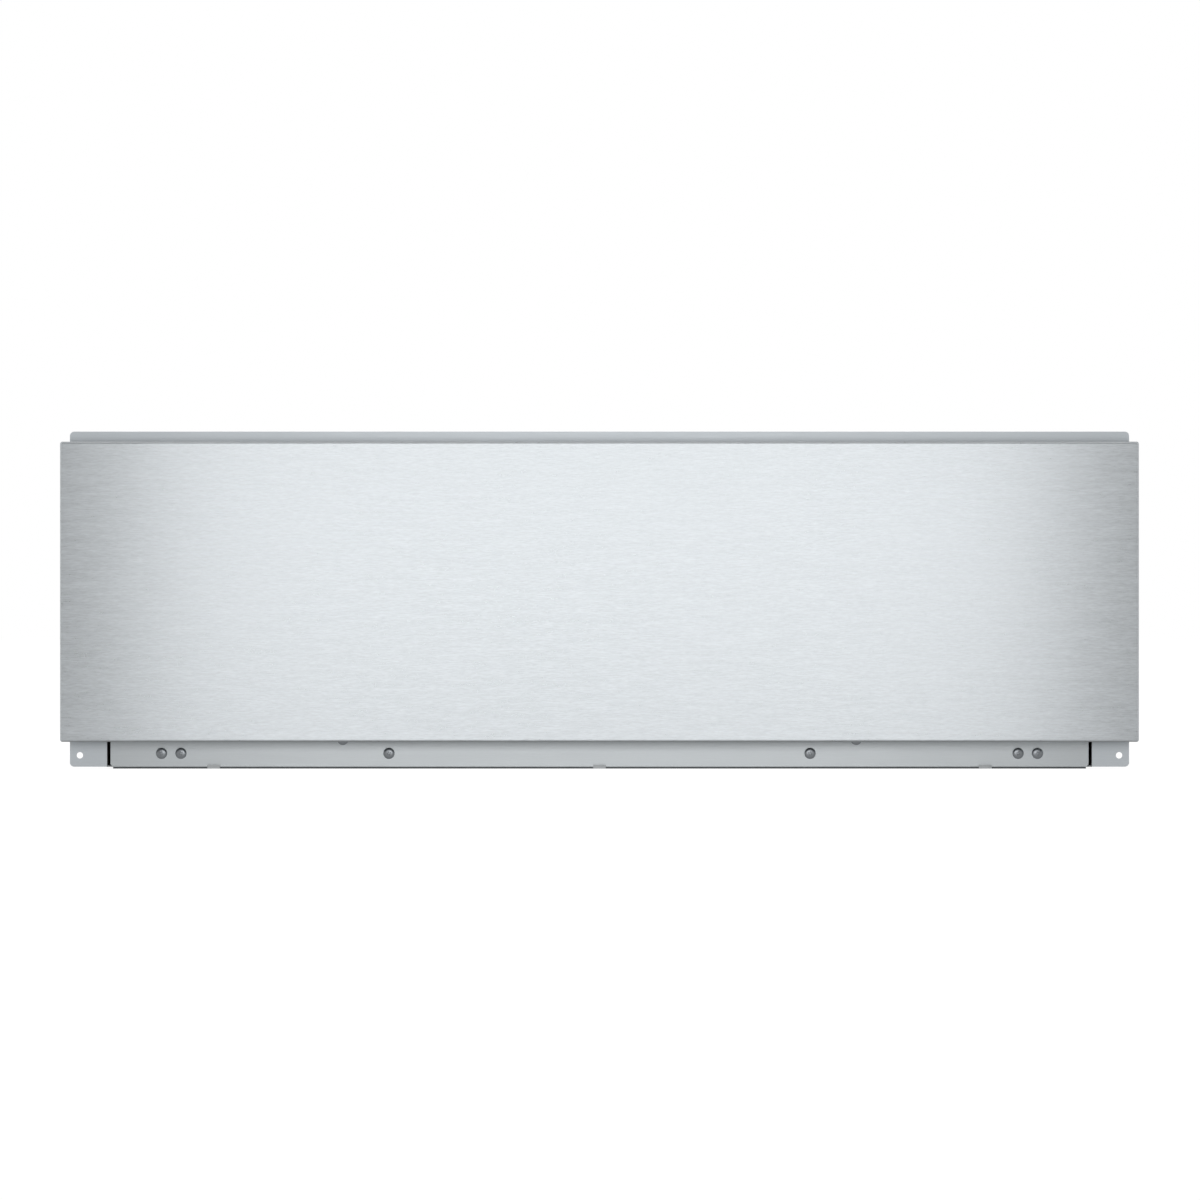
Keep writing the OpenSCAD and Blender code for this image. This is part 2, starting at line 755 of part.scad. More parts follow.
// The temperature knob: a skirt, a grip bar and a raised pointer
module temperature_knob() {
    skirt = 4;
    grip_w = knob_d * 0.28;
    color("#202224")
    difference() {
        union() {
            bar_y(knob_x, knob_back_y - skirt, knob_back_y, bezel_z, knob_d);
            bar_y(knob_x, knob_back_y - skirt - 2, knob_back_y, bezel_z, knob_d * 0.72);
            intersection() {
                block([knob_x - grip_w / 2, knob_front_y, bezel_z - knob_d / 2],
                      [knob_x + grip_w / 2, knob_back_y, bezel_z + knob_d / 2]);
                bar_y(knob_x, knob_front_y, knob_back_y, bezel_z, knob_d * 0.94);
            }
        }
        bar_y(knob_x, shaft_front_y - near, knob_back_y + 1, bezel_z, shaft_d + 2 * run);
    }
}

module knob_shaft() {
    color(zinc)
    bar_y(knob_x, shaft_front_y, pocket_back_y + 12, bezel_z, shaft_d);
}

// ---- the cavity and its insulation ----

element_rise = 11;
element_z = tray_top_z + element_rise;
element_x = [for (x = spread(element_runs, element_pitch)) x];
tray_y0 = rail_back_y + rail_depth + 1;
element_margin = 12;
element_front_y = tray_y0 + element_pitch / 2 + element_margin;
element_turn_y = cavity_back_y - element_pitch / 2 - element_margin - 2;
element_end_x = element_x[element_runs - 1];
seal_d = element_d + 6;
latch_drop = 22;
latch_z = rim_z - latch_drop;
sensor_x = [90, 160];
sensor_in = 60;
sensor_y = cavity_back_y - sensor_in;
sensor_d = 5;
capillary_d = 1.6;
capillary_hole = [sensor_x[1] + 12, sensor_y];
cutout_x = 60;
cutout_z = element_z;
cutout_d = 16;
cutout_h = 9;
clip_w = 10;
clip_wrap = 1.6;
clip_foot = 7;
clip_in = 50;

// The stainless liner: two sides, the ceiling, the back and the flanges round its mouth
module cavity_liner() {
    foot = 10;
    color(steel)
    difference() {
        union() {
            along_y(frame_y, cavity_back_y + eps) {
                difference() {
                    translate([-liner_out_x, sheet_t + fit])
                        square([2 * liner_out_x, ceiling_top_z - sheet_t - fit]);
                    translate([-liner_in_x, 0]) square([2 * liner_in_x, ceiling_z]);
                }
                for (side = [-1, 1])
                    translate([side * (liner_in_x - foot / 2), sheet_t + fit + liner_t / 2])
                        square([foot + eps, liner_t], center = true);
            }
            block([-liner_out_x, cavity_back_y, sheet_t + fit],
                  [liner_out_x, cavity_back_y + liner_t, ceiling_top_z]);
            both_sides()
                block([liner_in_x, frame_y, rail_top_z + near],
                      [opening_x - near, frame_y + liner_t, ceiling_top_z]);
        }
        both_sides() {
            block([liner_in_x - foot - 1, frame_y - 1, 0],
                  [liner_out_x + 1, tray_y0, rail_top_z + near]);
            bar_y(element_end_x, cavity_back_y - 1, cavity_back_y + 2, element_z,
                  seal_d + 2 * fit);
            for (y = rail_mount_y)
                bar_x(liner_in_x - 1, liner_out_x + 1, y, runner_z, screw_d + 2 * screw_fit);
        }
        bar_z(capillary_hole.x, capillary_hole.y, ceiling_z - 1, ceiling_top_z + 1, 5);
    }
}

// The tray that closes the cavity below and throws the element's heat up
module heat_reflector() {
    edge = 9;
    tray_x = liner_in_x - fit;
    low_y = tray_y0;
    high_y = cavity_back_y - fit;
    color("#d6d2c6")
    difference() {
        block([-tray_x, low_y, cavity_floor_z], [tray_x, high_y, tray_top_z + edge]);
        block([-tray_x + liner_t, low_y + liner_t, tray_top_z],
              [tray_x - liner_t, high_y - liner_t, tray_top_z + edge + 1]);
        both_sides()
            bar_y(element_end_x, high_y - 2, high_y + 1, element_z, seal_d + 2 * fit);
    }
}

// A half turn of the element's tube, open towards +Y when front is true
module element_bend(x, y, front) {
    translate([x, y, element_z])
        rotate([0, 0, front ? 180 : 0])
            rotate_extrude(angle = 180)
                translate([element_pitch / 2, 0]) circle(d = element_d);
}

// The sheathed tube, bent back and forth over the tray, with its pins at the back
module heating_element() {
    end_y = cavity_back_y + liner_t + 4;
    color("#5b5148") {
        for (i = [0 : element_runs - 1]) {
            last = i == 0 || i == element_runs - 1;
            bar_y(element_x[i], element_front_y, last ? end_y : element_turn_y,
                  element_z, element_d);
        }
        for (i = [0 : element_runs - 2])
            element_bend((element_x[i] + element_x[i + 1]) / 2,
                         i % 2 == 0 ? element_front_y : element_turn_y, i % 2 == 0);
        both_sides() bar_y(element_end_x, end_y - 1, end_y + 8, element_z, 2.4);
    }
}

// Saddles that hold the element above the tray
module element_clips() {
    half_w = element_d / 2 + clip_wrap;
    foot_x = element_d / 2 + clip_foot;
    color(zinc)
    for (x = element_x, y = [element_front_y + clip_in, element_turn_y - clip_in])
        difference() {
            union() {
                block([x - half_w, y - clip_w / 2, tray_top_z + fit],
                      [x + half_w, y + clip_w / 2, element_z]);
                bar_y(x, y - clip_w / 2, y + clip_w / 2, element_z, 2 * half_w);
                block([x - foot_x, y - clip_w / 2, tray_top_z + fit],
                      [x + foot_x, y + clip_w / 2, tray_top_z + fit + sheet_t]);
            }
            bar_y(x, y - clip_w, y + clip_w, element_z, element_d + 2 * fit);
        }
}

// Ceramic bushes where the element passes the cavity's back
module element_seals() {
    color(ceramic)
    both_sides()
        difference() {
            union() {
                bar_y(element_end_x, cavity_back_y - 3, cavity_back_y + liner_t + 3,
                      element_z, seal_d);
                bar_y(element_end_x, cavity_back_y + liner_t + fit,
                      cavity_back_y + liner_t + 3, element_z, seal_d + 4);
            }
            bar_y(element_end_x, cavity_back_y - 5, cavity_back_y + 10, element_z,
                  element_d + 2 * fit);
        }
}

// The thermostat's bulb under the ceiling, its straps and its capillary to the thermostat
module temperature_sensor() {
    z = ceiling_z - sensor_d / 2 - fit;
    bay_z = shield_top_z + near + capillary_d / 2;
    end_x = knob_x - 12;
    color("#b08d57") {
        bar_x(sensor_x[0], sensor_x[1], sensor_y, z, sensor_d);
        lead([
            [sensor_x[1] - 1, sensor_y, z],
            [capillary_hole.x, sensor_y, z],
            [capillary_hole.x, sensor_y, bay_z],
            [capillary_hole.x, thermostat_back_y + 100, bay_z],
            [end_x, thermostat_back_y + 50, bay_z],
            [end_x, thermostat_back_y + 16, bay_z],
            [end_x, thermostat_back_y + near, bezel_z - 5]
        ], capillary_d, 5);
    }
    slot = sensor_d / 2 + fit;
    wall = 1.2;
    color(zinc)
    for (x = [sensor_x[0] + 15, sensor_x[1] - 15])
        difference() {
            union() {
                block([x - 4, sensor_y - slot - wall, z - slot - wall],
                      [x + 4, sensor_y + slot + wall, ceiling_z]);
                block([x - 4, sensor_y - slot - 6, ceiling_z - wall],
                      [x + 4, sensor_y + slot + 6, ceiling_z]);
            }
            bar_x(x - 5, x + 5, sensor_y, z, 2 * slot);
            block([x - 5, sensor_y - slot, z], [x + 5, sensor_y + slot, ceiling_z + 1]);
        }
}

// The disc that cuts the heater off if the cavity's back gets too hot
module thermal_cutout() {
    y = cavity_back_y + liner_t + fit;
    color(dark) {
        bar_y(cutout_x, y, y + cutout_h, cutout_z, cutout_d);
        block([cutout_x - 13, y, cutout_z - 5], [cutout_x + 13, y + 1, cutout_z + 5]);
        for (side = [-1, 1])
            block([cutout_x + side * 4 - 0.4, y + cutout_h - eps, cutout_z - 3],
                  [cutout_x + side * 4 + 0.4, y + cutout_h + 6, cutout_z + 3]);
    }
}

lead_gap_x = opening_x - 30;
lead_gap_y = rear_in_y - flange_w - 12;

// Mineral wool round the cavity
module insulation_top() {
    color(wool)
    difference() {
        block([-opening_x + near, frame_y + 14, ceiling_top_z + near],
              [opening_x - near, rear_in_y - near - flange_w, shield_z - near]);
        bar_z(capillary_hole.x, capillary_hole.y, ceiling_z, shield_top_z, 6);
        block([lead_gap_x - 8, lead_gap_y, ceiling_z], [lead_gap_x + 8, case_y1, cover_z]);
    }
}

module insulation_sides() {
    color(wool)
    both_sides()
        block([liner_out_x + head_h + near, case_y0 + frame_lip + 2, 3 * sheet_t],
              [opening_x - near, cavity_back_y, ceiling_top_z]);
}

module insulation_rear() {
    color(wool)
    block([-lead_gap_x + 8, cavity_back_y + liner_t + near, element_z + 22],
          [lead_gap_x - 8, rear_in_y - near - 1.6, ceiling_top_z - 1]);
}

module insulation_floor() {
    foot = 10;
    color(wool)
    block([-liner_in_x + foot + 1, rail_back_y + 34, sheet_t + near],
          [liner_in_x - foot - 1, cavity_back_y - 1, cavity_floor_z - near]);
}

// The sheet over the insulation, which is the floor of the control bay
module heat_shield() {
    color(zinc)
    difference() {
        block([-opening_x + near, frame_y + 13, shield_z],
              [opening_x - near, rear_in_y - near - flange_w / 2, shield_top_z]);
        bar_z(capillary_hole.x, capillary_hole.y, shield_z - 1, shield_top_z + 1, 5);
        block([lead_gap_x - 8, lead_gap_y, shield_z - 1],
              [lead_gap_x + 8, rear_in_y, shield_top_z + 1]);
        block([opening_x - flange_w - 1, rear_in_y - flange_w, shield_z - 1],
              [opening_x, rear_in_y, shield_top_z + 1]);
        block([-opening_x, rear_in_y - flange_w, shield_z - 1],
              [-opening_x + flange_w + 1, rear_in_y, shield_top_z + 1]);
    }
}

// ---- the rear connections ----

block_size = [52, 22, 18];
block_y = rear_in_y - 46;
gland_d = gland_bore_d + 7;

// The screw terminals for the supply, on the bay's floor
module terminal_block() {
    low = [-gland_x - block_size.x / 2, block_y, shield_top_z + fit];
    poles = 3;
    pitch = block_size.x / (poles + 0.4);
    color(ceramic)
    difference() {
        block(low, low + block_size);
        for (x = spread(poles, pitch)) {
            bar_z(-gland_x + x, block_y + block_size.y * 0.3, low.z + 6,
                  low.z + block_size.z + 1, 5.5);
            bar_z(-gland_x + x, block_y + block_size.y * 0.7, low.z + 6,
                  low.z + block_size.z + 1, 5.5);
            bar_y(-gland_x + x, block_y - 1, block_y + 7, low.z + 6, 4);
        }
    }
}

// The plate over the terminals, with the gland's hole
module terminal_cover() {
    half = [terminal_screw_x + 7, terminal_h / 2 + 4];
    color(zinc)
    difference() {
        along_y(case_y1 + fit, case_y1 + fit + sheet_t)
            translate([-gland_x, terminal_z]) round_rect(-half, half, 4);
        bar_y(-gland_x, case_y1 - 1, case_y1 + 3, terminal_z, gland_d + 2 * fit);
        for (side = [-1, 1])
            bar_y(-gland_x + side * terminal_screw_x, case_y1 - 1, case_y1 + 3, terminal_z,
                  screw_d + 2 * screw_fit);
    }
}

// The gland that grips the supply cord, with its lock nut inside the plate
module cable_gland() {
    face_y = case_y1 + 2 * fit + sheet_t;
    end_y = case_y1 + gland_out;
    color(dark) {
        difference() {
            union() {
                bar_y(-gland_x, case_y1 - 9, end_y, terminal_z, gland_d);
                translate([-gland_x, face_y, terminal_z]) rotate([-90, 0, 0])
                    cylinder(d = gland_d + 8, h = 4, $fn = 6);
                bar_y(-gland_x, face_y + 4 - eps, end_y - 1.5, terminal_z, gland_d + 4);
            }
            bar_y(-gland_x, case_y1 - 10, end_y + 1, terminal_z, gland_bore_d);
        }
        difference() {
            translate([-gland_x, case_y1 - 5.1, terminal_z]) rotate([-90, 0, 0])
                cylinder(d = gland_d + 8, h = 5, $fn = 6);
            bar_y(-gland_x, case_y1 - 7, case_y1, terminal_z, gland_d + 2 * fit);
        }
    }
}

harness_d = 5;
heater_lead_d = 4;
harness_z = shield_top_z + harness_d / 2 + near;
harness_front_y = pocket_back_y + 52;
terminal_lead_z = shield_top_z + 9;

// The lead from the terminals along the bay to the switch
module supply_harness() {
    color("#7c2f24")
    lead([
        [-gland_x, block_y - near, terminal_lead_z],
        [-gland_x, block_y - 18, terminal_lead_z],
        [-gland_x, block_y - 34, harness_z],
        [-gland_x, harness_front_y, harness_z],
        [switch_x, harness_front_y, harness_z],
        [switch_x, harness_front_y - 12, bezel_z],
        [switch_x, pocket_back_y + switch_depth + blade_l + near, bezel_z]
    ], harness_d, 6);
}

// The lead from the thermostat along the bay and down the back to the element and the cutout
module heater_harness() {
    y0 = thermostat_back_y + thermostat_blade_l + near;
    drop_y = rear_in_y - flange_w - 6;
    run_z = element_z + 14;
    branch_d = 2.4;
    color("#d9d4c4") {
        lead([
            [knob_x + 4, y0, bezel_z - 7],
            [knob_x + 4, y0 + 12, bezel_z - 7],
            [knob_x + 10, y0 + 30, harness_z],
            [lead_gap_x, y0 + 60, harness_z],
            [lead_gap_x, drop_y, harness_z],
            [lead_gap_x, drop_y, run_z],
            [-element_end_x - 6, drop_y, run_z]
        ], heater_lead_d, 6);
        both_sides() bar_z(element_end_x, drop_y, element_z + 1.5, run_z, branch_d);
        bar_z(cutout_x, drop_y, cutout_z + cutout_d / 2 + near, run_z, branch_d);
    }
}

// Saddles that hold the two leads on the bay's floor
module harness_clips() {
    module clip(x, y, d) {
        difference() {
            union() {
                bar_y(x, y - 4, y + 4, shield_top_z + near + d / 2, d + 3);
                block([x - d / 2 - 6, y - 4, shield_top_z + fit],
                      [x + d / 2 + 6, y + 4, shield_top_z + 1.4]);
            }
            bar_y(x, y - 5, y + 5, shield_top_z + near + d / 2, d + 2 * fit);
            block([x - d, y - 5, shield_top_z - 3], [x + d, y + 5, shield_top_z + fit]);
        }
    }
    color(dark) {
        for (y = [-120, 0, 120]) clip(-gland_x, y, harness_d);
        for (y = [-100, 20, 140]) clip(lead_gap_x, y, harness_d);
    }
}

// ---- the runners ----

race_out = runner_h / 2 - runner_t;            // inside of the outer member's flanges
ball_out = race_out - run - ball_d / 2;        // middle of the outer balls
mid_out = ball_out - ball_d / 2 - run;         // outside of the middle member's flanges
race_in = mid_out - runner_t;                  // inside of the middle member's flanges
ball_in = race_in - run - ball_d / 2;          // middle of the inner balls
inner_out = ball_in - ball_d / 2 - run;        // outside of the drawer member's flanges
cage_t = 0.6;
web_mid = runner_t + near + cage_t + near;     // start of the middle member's web
flange_end = runner_w - runner_t - 0.7;        // reach of the two inner flanges
web_cage_in = web_mid + runner_t + near;       // start of the inner cage's web
inner_start = web_cage_in + cage_t + near;     // start of the drawer member's flanges
cage_margin = 4;
cage_y0 = runner_y0 + drawer_travel / 4 + cage_margin;
cage_l = runner_l - drawer_travel / 2 - 2 * cage_margin;
ball_pitch = 22;
ball_count = floor((cage_l - 16) / ball_pitch) + 1;

// A runner section in U, out of the wall, and Z, at the right of the case
module runner_section(y0, y1) {
    along_y(y0, y1)
        translate([liner_in_x, runner_z]) mirror([1, 0]) children();
}

module c_section(u0, u1, v, t) {
    translate([u0, -v]) square([t, 2 * v]);
    for (side = [-1, 1])
        translate([u0, side < 0 ? -v : v - t]) square([u1 - u0, t]);
}

module fixed_rail() {
    color(zinc)
    difference() {
        runner_section(runner_y0, runner_y1) c_section(0, flange_end, runner_h / 2, runner_t);
        for (y = rail_mount_y)
            bar_x(liner_in_x - 2 * runner_t, liner_in_x + 1, y, runner_z,
                  screw_d + 2 * screw_fit);
    }
}

module middle_rail() {
    color(zinc)
    runner_section(runner_y0, runner_y1) c_section(web_mid, flange_end, mid_out, runner_t);
}

module drawer_rail() {
    color(zinc)
    difference() {
        runner_section(runner_y0, runner_y1)
            translate([runner_w, 0]) mirror([1, 0])
                c_section(0, runner_w - inner_start, inner_out, runner_t);
        for (y = rail_mount_y)
            bar_x(drawer_x - 1, drawer_x + 2 * runner_t, y, runner_z, screw_d + 2 * screw_fit);
    }
}

// A strip with flanges that space the balls, and the balls in its holes
module ball_cage(u0, u1, v) {
    ball_u = (u0 + cage_t + u1) / 2;
    ball_x = liner_in_x - ball_u;
    places = [for (y = spread(ball_count, ball_pitch)) cage_y0 + cage_l / 2 + y];
    color(zinc)
    difference() {
        runner_section(cage_y0, cage_y0 + cage_l) c_section(u0, u1, v + cage_t / 2, cage_t);
        for (y = places, side = [-1, 1])
            bar_z(ball_x, y, runner_z + side * v - 1, runner_z + side * v + 1,
                  ball_d + 2 * run);
    }
    color(steel)
    for (y = places, side = [-1, 1])
        translate([ball_x, y, runner_z + side * v]) sphere(d = ball_d);
}

module outer_ball_cage() { ball_cage(runner_t + near, flange_end - 0.8, ball_out); }
module inner_ball_cage() { ball_cage(web_cage_in, flange_end - 0.8, ball_in); }

module left_fixed_rail() { mirror([1, 0, 0]) fixed_rail(); }
module right_fixed_rail() { fixed_rail(); }
module left_middle_rail() { mirror([1, 0, 0]) middle_rail(); }
module right_middle_rail() { middle_rail(); }
module left_drawer_rail() { mirror([1, 0, 0]) drawer_rail(); }
module right_drawer_rail() { drawer_rail(); }
module left_outer_ball_cage() { mirror([1, 0, 0]) outer_ball_cage(); }
module right_outer_ball_cage() { outer_ball_cage(); }
module left_inner_ball_cage() { mirror([1, 0, 0]) inner_ball_cage(); }
module right_inner_ball_cage() { inner_ball_cage(); }

// ---- the latch ----

latch_size = [24, latch_space - push_travel - 4, 22];
latch_front_y = cavity_back_y - fit - latch_size.y;
latch_wall = 3;
plunger_d = 7;
plunger_travel = 6;
collar_t = 2;
collar_d = 11;
chamber_d = collar_d + 1;
striker_t = 2;
striker_w = 33;
plunger_tip_y = drawer_back_y + striker_t + push_travel + near;
chamber_y0 = latch_front_y + latch_wall;
chamber_y1 = cavity_back_y - fit - 2;

// The housing of the push-to-open catch, on the cavity's back
module latch_housing() {
    half = [latch_size.x / 2, latch_size.z / 2];
    color(dark)
    difference() {
        union() {
            along_y(latch_front_y, cavity_back_y - fit)
                translate([0, latch_z]) round_rect(-half, half, 3);
            along_y(cavity_back_y - fit - 2, cavity_back_y - fit)
                translate([0, latch_z]) round_rect(-half - [10, 0], half + [10, 0], 3);
        }
        bar_y(0, latch_front_y - 1, chamber_y0 + 1, latch_z, plunger_d + 2 * run);
        bar_y(0, chamber_y0, chamber_y1, latch_z, chamber_d);
        for (side = [-1, 1])
            bar_y(side * (half.x + 5), cavity_back_y - 4, cavity_back_y, latch_z, 3.4);
    }
}

// The sprung plunger that throws the drawer out
module latch_plunger() {
    color(steel) {
        bar_y(0, plunger_tip_y, chamber_y0 + near + eps, latch_z, plunger_d);
        bar_y(0, chamber_y0 + near, chamber_y0 + near + collar_t, latch_z, collar_d);
        bar_y(0, chamber_y0 + near + collar_t - eps, chamber_y1 - plunger_travel - 1,
              latch_z, plunger_d - 3);
    }
}

spring_wire_d = 0.9;
spring_turns = 6;
spring_d = chamber_d - spring_wire_d - 2 * near - 0.6;
spring_y0 = chamber_y0 + collar_t + 2 * near + spring_wire_d / 2;
spring_y1 = chamber_y1 - near - spring_wire_d / 2;

// A point on the spring's wire, for a share of its length and an angle round the wire
function spring_point(share, angle) =
    let (turn = 360 * spring_turns * share,
         reach = spring_d / 2 + spring_wire_d / 2 * cos(angle))
    [reach * cos(turn),
     spring_y0 + (spring_y1 - spring_y0) * share + spring_wire_d / 2 * sin(angle),
     latch_z + reach * sin(turn)];

// The coil spring behind the plunger's collar
module latch_spring() {
    rings = spring_turns * 12;
    sides = 6;
    points = [for (i = [0 : rings], j = [0 : sides - 1])
              spring_point(i / rings, 360 * j / sides)];
    skin = [for (i = [0 : rings - 1], j = [0 : sides - 1])
            let (a = i * sides + j, b = i * sides + (j + 1) % sides)
            [a, b, b + sides, a + sides]];
    first = [for (j = [sides - 1 : -1 : 0]) j];
    last = [for (j = [0 : sides - 1]) rings * sides + j];
    color(steel) polyhedron(points, concat(skin, [first, last]));
}

// The plate on the drawer's back that the catch works on
module latch_striker() {
    color(zinc)
    along_y(drawer_back_y + eps, drawer_back_y + striker_t)
        translate([0, latch_z])
            round_rect([-striker_w / 2, -striker_w / 3], [striker_w / 2, striker_w / 3], 2);
}

pad_d = 12;
pad_in = 23;

// Rubber dots that stop the front panel when it is pressed in
module stop_pads() {
    pad_t = push_gap - push_travel - fit;
    color(dark)
    both_sides()
        for (z = [panel_sill + pad_in, panel_top - 2 * pad_in])
            bar_y(opening_x + stile_w / 2, frame_y - pad_t, frame_y, z, pad_d);
}

// ---- the drawer ----

inner_t = 1;
inner_edge = 8;
inner_x = panel_w / 2 - skin_t - fit;
inner_z0 = panel_sill + skin_t + fit;
inner_z1 = panel_top - skin_t - fit;
front_screw_z = [frame_low_z + 14, (frame_low_z + rim_z) / 2, rim_z - 16];
front_flange = 16;
front_screw_x = drawer_x - front_flange / 2;

// The folded stainless front, rounded at the folds
module front_panel() {
    half = panel_w / 2;
    module rounded(a0, a1) {
        translate([0, a0]) round_rect([front_y, 0], [panel_back_y + 2 * fold_r, a1 - a0], fold_r);
    }
    color(steel)
    difference() {
        intersection() {
            along_x(-half, half) rounded(panel_sill, panel_top);
            along_z(panel_sill - 1, panel_top + 1)
                rotate(90) mirror([0, 1]) rounded(-half, half);
            block([-half, front_y - 1, 0], [half, panel_back_y, case_h]);
        }
        block([-half + skin_t, front_y + skin_t, panel_sill + skin_t],
              [half - skin_t, panel_back_y + 1, panel_top - skin_t]);
    }
}

// The tray that closes the back of the front panel
module front_inner_panel() {
    color(steel)
    difference() {
        block([-inner_x, panel_back_y - inner_edge, inner_z0], [inner_x, panel_back_y, inner_z1]);
        block([-inner_x + inner_t, panel_back_y - inner_edge - 1, inner_z0 + inner_t],
              [inner_x - inner_t, panel_back_y - inner_t, inner_z1 - inner_t]);
        both_sides()
            for (z = front_screw_z)
                bar_y(front_screw_x, panel_back_y - 3, panel_back_y + 1, z,
                      screw_d + 2 * screw_fit);
    }
}

bracket_half = 11;
bracket_wall = 1.5;
bracket_over = 12;

// Channels between the front's two sheets, which the drawer frame is screwed to
module front_brackets() {
    y0 = front_y + skin_t + fit;
    y1 = panel_back_y - inner_t - fit;
    color(zinc)
    both_sides()
        difference() {
            block([front_screw_x - bracket_half, y0, front_screw_z[0] - bracket_over],
                  [front_screw_x + bracket_half, y1, front_screw_z[2] + bracket_over]);
            block([front_screw_x - bracket_half + bracket_wall, y0 + bracket_wall, 0],
                  [front_screw_x + bracket_half - bracket_wall, y1 - bracket_wall, case_h]);
            for (z = front_screw_z)
                bar_y(front_screw_x, y1 - 3, y1 + 1, z, screw_d + 2 * screw_fit);
        }
}

// Mineral wool in the front, in one slab between the brackets and one beyond each
module front_insulation() {
    y0 = front_y + skin_t + near;
    y1 = panel_back_y - inner_t - near;
    z0 = inner_z0 + inner_t + 1;
    z1 = inner_z1 - inner_t - 1;
    inner = front_screw_x - bracket_half - 1;
    outer = front_screw_x + bracket_half + 1;
    color(wool) {
        block([-inner, y0, z0], [inner, y1, z1]);
        both_sides() block([outer, y0, z0], [inner_x - inner_t - 1, y1, z1]);
    }
}

// The welded frame that the pan hangs in: two sides, the back and the front flanges
module drawer_frame() {
    y0 = panel_back_y + fit;
    color(steel)
    difference() {
        block([-drawer_x, y0, frame_low_z], [drawer_x, drawer_back_y, rim_z - fit]);
        block([-drawer_x + box_t, y0 + box_t, 0],
              [drawer_x - box_t, drawer_back_y - box_t, case_h]);
        block([-drawer_x + front_flange, y0 - 1, 0],
              [drawer_x - front_flange, y0 + box_t + 1, case_h]);
        both_sides() {
            for (z = front_screw_z)
                bar_y(front_screw_x, y0 - 1, y0 + 3, z, screw_d + 2 * screw_fit);
            for (y = rail_mount_y)
                bar_x(drawer_x - 2 * box_t, drawer_x + 1, y, runner_z, screw_d + 2 * screw_fit);
        }
    }
}

low_head_h = 1.5;

// The screws of the front and of the drawer's rails
module drawer_screws() {
    color(steel)
    both_sides() {
        for (z = front_screw_z)
            translate([front_screw_x, panel_back_y + fit + box_t, z])
                rotate([-90, 0, 0]) screw(4, low_head_h);
        for (y = rail_mount_y)
            translate([drawer_x - box_t, y, runner_z])
                rotate([0, -90, 0]) screw(box_t + runner_t - fit, low_head_h);
    }
}

rim_t = box_t;
pan_gap = low_head_h + 0.7;
pan_x = drawer_x - box_t - pan_gap;
pan_y0 = panel_back_y + fit + box_t + pan_gap;
pan_y1 = drawer_back_y - box_t - 3;

// The deep stainless pan that holds the dishes, hanging by its rim
module warming_pan() {
    low = [-pan_x, pan_y0];
    high = [pan_x, pan_y1];
    wall = [box_t, box_t];
    rim_low = [-drawer_x - 0.8, panel_back_y + 2 * fit];
    rim_high = [drawer_x + 0.8, drawer_back_y + 0.6];
    color(steel)
    difference() {
        union() {
            along_z(pan_z, rim_z + rim_t) round_rect(low, high, pan_corner_r);
            along_z(rim_z, rim_z + rim_t) round_rect(rim_low, rim_high, 4);
        }
        along_z(pan_floor_z, rim_z + rim_t + 1)
            round_rect(low + wall, high - wall, pan_corner_r - box_t);
    }
}

rack_gap = 12;
rack_corner_r = 22;
rack_lift = 22;
rack_foot_w = 34;
rack_foot_in = 60;

// The chromed rack that stands in the left half of the pan
module wire_rack() {
    x0 = -pan_x + rack_gap;
    x1 = -rack_gap;
    y0 = pan_y0 + rack_gap;
    y1 = pan_y1 - rack_gap;
    r = rack_corner_r;
    z = pan_floor_z + rack_lift;
    wire_z = z + (rack_frame_d + rack_wire_d) / 2 - 0.6;
    foot = rack_foot_w;
    pitch = (x1 - x0 - 2 * r) / (rack_wires - 1);
    color(steel) {
        for (x = [x0, x1]) bar_y(x, y0 + r, y1 - r, z, rack_frame_d);
        for (y = [y0, y1]) bar_x(x0 + r, x1 - r, y, z, rack_frame_d);
        for (corner = [[x0 + r, y0 + r, 180], [x1 - r, y0 + r, 270],
                       [x1 - r, y1 - r, 0], [x0 + r, y1 - r, 90]])
            translate([corner[0], corner[1], z])
                rotate(corner[2])
                    rotate_extrude(angle = 90) translate([r, 0]) circle(d = rack_frame_d);
        for (i = [0 : rack_wires - 1])
            bar_y(x0 + r + i * pitch, y0 - 1, y1 + 1, wire_z, rack_wire_d);
        for (x = [x0, x1], y = [y0 + rack_foot_in, y1 - rack_foot_in - foot]) {
            for (end = [0, foot])
                bar_z(x, y + end, pan_floor_z + rack_wire_d / 2 + near, z, rack_wire_d);
            bar_y(x, y, y + foot, pan_floor_z + rack_wire_d / 2 + near, rack_wire_d);
            for (end = [0, foot])
                translate([x, y + end, pan_floor_z + rack_wire_d / 2 + near])
                    sphere(d = rack_wire_d);
        }
    }
}

mounting_frame();
frame_rivets();
left_side_wall();
right_side_wall();
base_plate();
top_cover();
rear_panel();
case_screws();
bottom_front_rail();
rail_brackets();
rail_screws();
control_fascia();
control_bezel();
switch_body();
thermostat();
indicator_lamp();
cavity_liner();
heat_reflector();
heating_element();
element_clips();
element_seals();
temperature_sensor();
thermal_cutout();
insulation_top();
insulation_sides();
insulation_rear();
insulation_floor();
heat_shield();
terminal_block();
terminal_cover();
cable_gland();
supply_harness();
heater_harness();
harness_clips();
left_fixed_rail();
right_fixed_rail();
latch_housing();
latch_spring();
stop_pads();
front_panel();
front_insulation();
front_inner_panel();
front_brackets();
drawer_frame();
drawer_screws();
warming_pan();
wire_rack();
left_drawer_rail();
right_drawer_rail();
latch_striker();
left_middle_rail();
right_middle_rail();
left_outer_ball_cage();
left_inner_ball_cage();
right_outer_ball_cage();
right_inner_ball_cage();
temperature_knob();
knob_shaft();
power_rocker();
latch_plunger();
